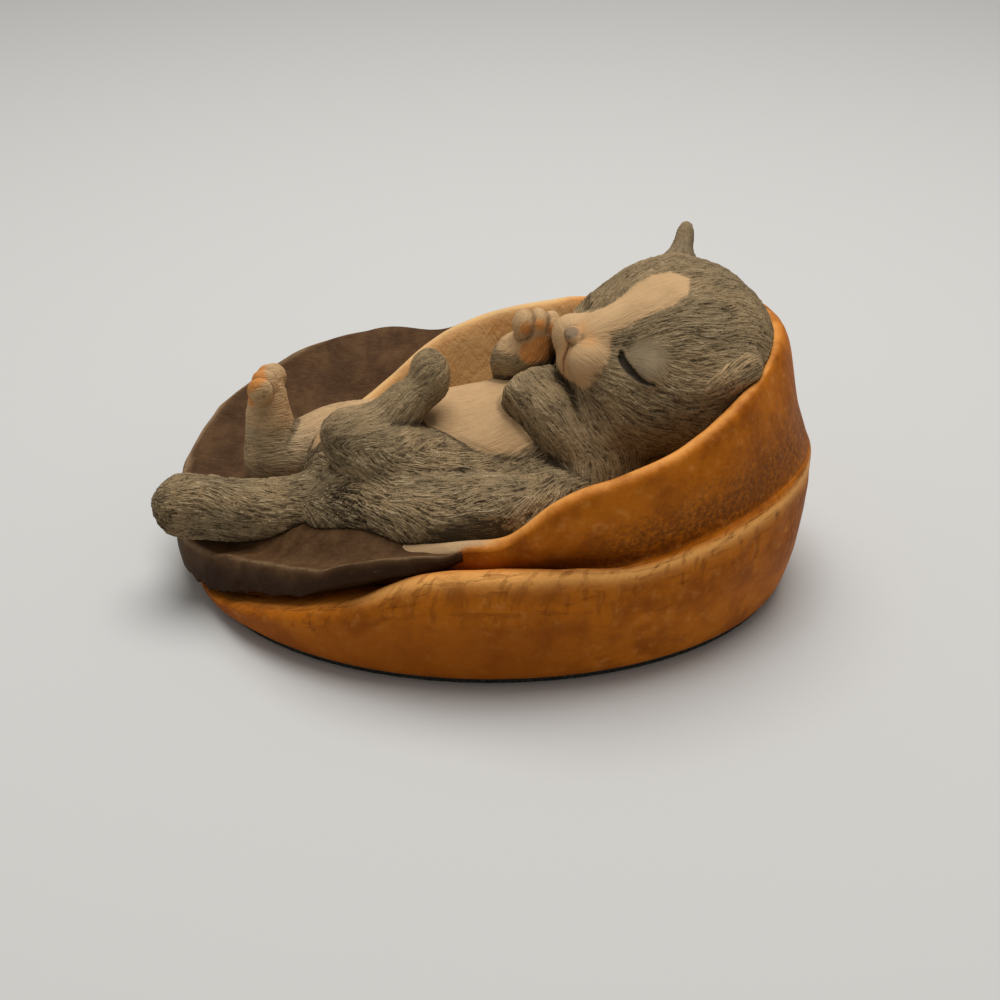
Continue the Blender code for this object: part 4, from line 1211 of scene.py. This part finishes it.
def coat_locks(points, out, flow, skin):
    """Heights of the coat, pointed locks that rise toward their tips, and the grooves between them."""
    tree = KDTree(len(points))
    for k, point in enumerate(points):
        tree.insert(point, k)
    tree.balance()
    open_skin = np.flatnonzero(skin > 0.3)
    roots = lock_draws.choice(open_skin, int(len(open_skin) * CLAY_STEP**2 * LOCKS_PER_MM2))
    lock, spot = [], []
    for k, root in enumerate(roots):
        found = [index for _, index, _ in tree.find_range(points[root], LOCK_LENGTH[1] / 2)]
        lock += [k] * len(found)
        spot += found
    lock, spot = np.array(lock), np.array(spot)
    count = len(roots)
    length, width, lift = (lock_draws.uniform(*span, count) for span in (LOCK_LENGTH, LOCK_WIDTH, LOCK_LIFT))
    bend, turn = lock_draws.normal(0, LOCK_BEND, count), lock_draws.normal(0, LOCK_TURN, (count, 1))
    ahead = flow[roots] * np.cos(turn) + np.cross(out[roots], flow[roots]) * np.sin(turn)
    across = np.cross(out[roots], ahead)
    gap = points[spot] - points[roots[lock]]
    along = np.einsum("ij,ij->i", gap, ahead[lock])
    beside = np.einsum("ij,ij->i", gap, across[lock]) - bend[lock] * along**2
    way = np.clip(along / length[lock] + 0.5, 0, 1)
    wide = 1.5 * width[lock] * np.sqrt(way) * (1 - way * way)
    body = np.sqrt(np.clip(1 - (beside / np.maximum(0.02, wide)) ** 2, 0, 1))
    height = lift[lock] * (0.3 + 0.7 * way) * body
    order = np.lexsort((height, spot))
    spot, height = spot[order], height[order]
    last = np.flatnonzero(np.diff(spot, append=-1))
    top, under = np.zeros(len(points)), np.zeros(len(points))
    top[spot[last]] = height[last]
    paired = last[(last > 0) & (spot[last - 1] == spot[last])]
    under[spot[paired]] = height[paired - 1]
    return top, ridge(top, under, GROOVE_WIDTH)


def hollow(points):
    """How hollow the kitten is at each point: above 0 in its creases."""
    total = 6 * sample(whole, points)
    for axis in HOLLOW_REACH * np.eye(3):
        total = total - sample(whole, points + axis) - sample(whole, points - axis)
    return total / HOLLOW_REACH**2


none = even(0.0)


def carve(name, lie, depth, material=fur, slot="fur", cream=none, pads=none, lines=none, grey=none):
    """Cuts one casting, carves its coat and marks where each paint goes."""
    points, quads, beyond = casting(name)
    out = facing(points, quads)
    flow = comb(points, out, lie(points))
    bedded = sample(sunk, points)
    skin = ease((0.35 - np.abs(sample(whole, points))) / 0.2) * ease((-0.05 - bedded) / 0.5)
    locks, grooves = coat_locks(points, out, flow, skin)
    coat = np.clip(2.6 * (locks - 0.47) - 0.75 * grooves + 0.35 * strokes(points, flow), -2.4, 2.0)
    joint = ease(-sample(beyond, points) / 0.6)
    deep, pale = depth(points), cream(points)
    height = COAT_HEIGHT * coat + LUMP_HEIGHT * clouds(points, LUMP_SIZE)
    height = height * deep * skin * (0.4 + 0.6 * joint)
    # Painted shade in the kitten's creases, where it lies on the cap, and at the foot of the haunch and the
    # tail's tip; half as much on cream
    wash = np.maximum.reduce([
        ramp(hollow(points), 0.12, 0.6), 0.5 * ease(1 + bedded / 0.65),
        0.9 * near_spots(points, DEEP_SHADED_LOCKS, 5.0),
    ])
    made = piece(
        name + "_fur", points + out * height[:, None], quads, material,
        coat=coat, lie=flow, deep=deep, cream=pale, pad=pads(points), line=lines(points),
        grey=grey(points), wash=(1 - 0.5 * pale) * wash,
    )
    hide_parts(name)


for name, coat in coats.items():
    carve(name, **coat)

# Table, light and camera
# The figurine stands on a plain pale table, under one large soft lamp above and a little behind it, in a
# pale room. The camera looks down on its shown side at 30 degrees.
TABLE_SIZE = 6
TABLE_PALE = (0.62, 0.615, 0.59, 1)
ROOM_WHITE, ROOM_STRENGTH = (1, 0.99, 0.97, 1), 0.30
LAMP_SIZE, LAMP_WATTS = 0.5, 2.9
LAMP_PLACE = (0.02, 0.10, 0.55)
CAMERA_TARGET = Vector((0, 0.019604, 0))
CAMERA_DISTANCE, CAMERA_ELEVATION = 0.280, math.radians(30)
CAMERA_SENSOR, CAMERA_LENS = 36.0, 57.96

bpy.ops.mesh.primitive_plane_add(size=TABLE_SIZE)
floor = bpy.context.object
floor.name = "table"
table_top, tree, shader, place = finish("table_top", roughness=0.8, specular=0.1)
shader.inputs["Base Color"].default_value = TABLE_PALE
floor.data.materials.append(table_top)

world = bpy.data.worlds.new("room")
world.use_nodes = True
world.node_tree.nodes["Background"].inputs["Color"].default_value = ROOM_WHITE
world.node_tree.nodes["Background"].inputs["Strength"].default_value = ROOM_STRENGTH
bpy.context.scene.world = world
lamp = bpy.data.objects.new("softbox", bpy.data.lights.new("softbox", "AREA"))
lamp.data.shape = "DISK"
lamp.data.size = LAMP_SIZE
lamp.data.energy = LAMP_WATTS
lamp.location = LAMP_PLACE
lamp.rotation_euler = (-lamp.location).to_track_quat("-Z", "Y").to_euler()
bpy.context.scene.collection.objects.link(lamp)

camera = bpy.data.objects.new("camera", bpy.data.cameras.new("camera"))
camera.data.sensor_width = CAMERA_SENSOR
camera.data.lens = CAMERA_LENS
camera.data.clip_start = 0.01
back = Vector((0, -math.cos(CAMERA_ELEVATION), math.sin(CAMERA_ELEVATION)))
camera.location = CAMERA_TARGET + back * CAMERA_DISTANCE
camera.rotation_euler = (-back).to_track_quat("-Z", "Y").to_euler()
bpy.context.scene.collection.objects.link(camera)
bpy.context.scene.camera = camera
bpy.context.scene.view_settings.view_transform = "Standard"
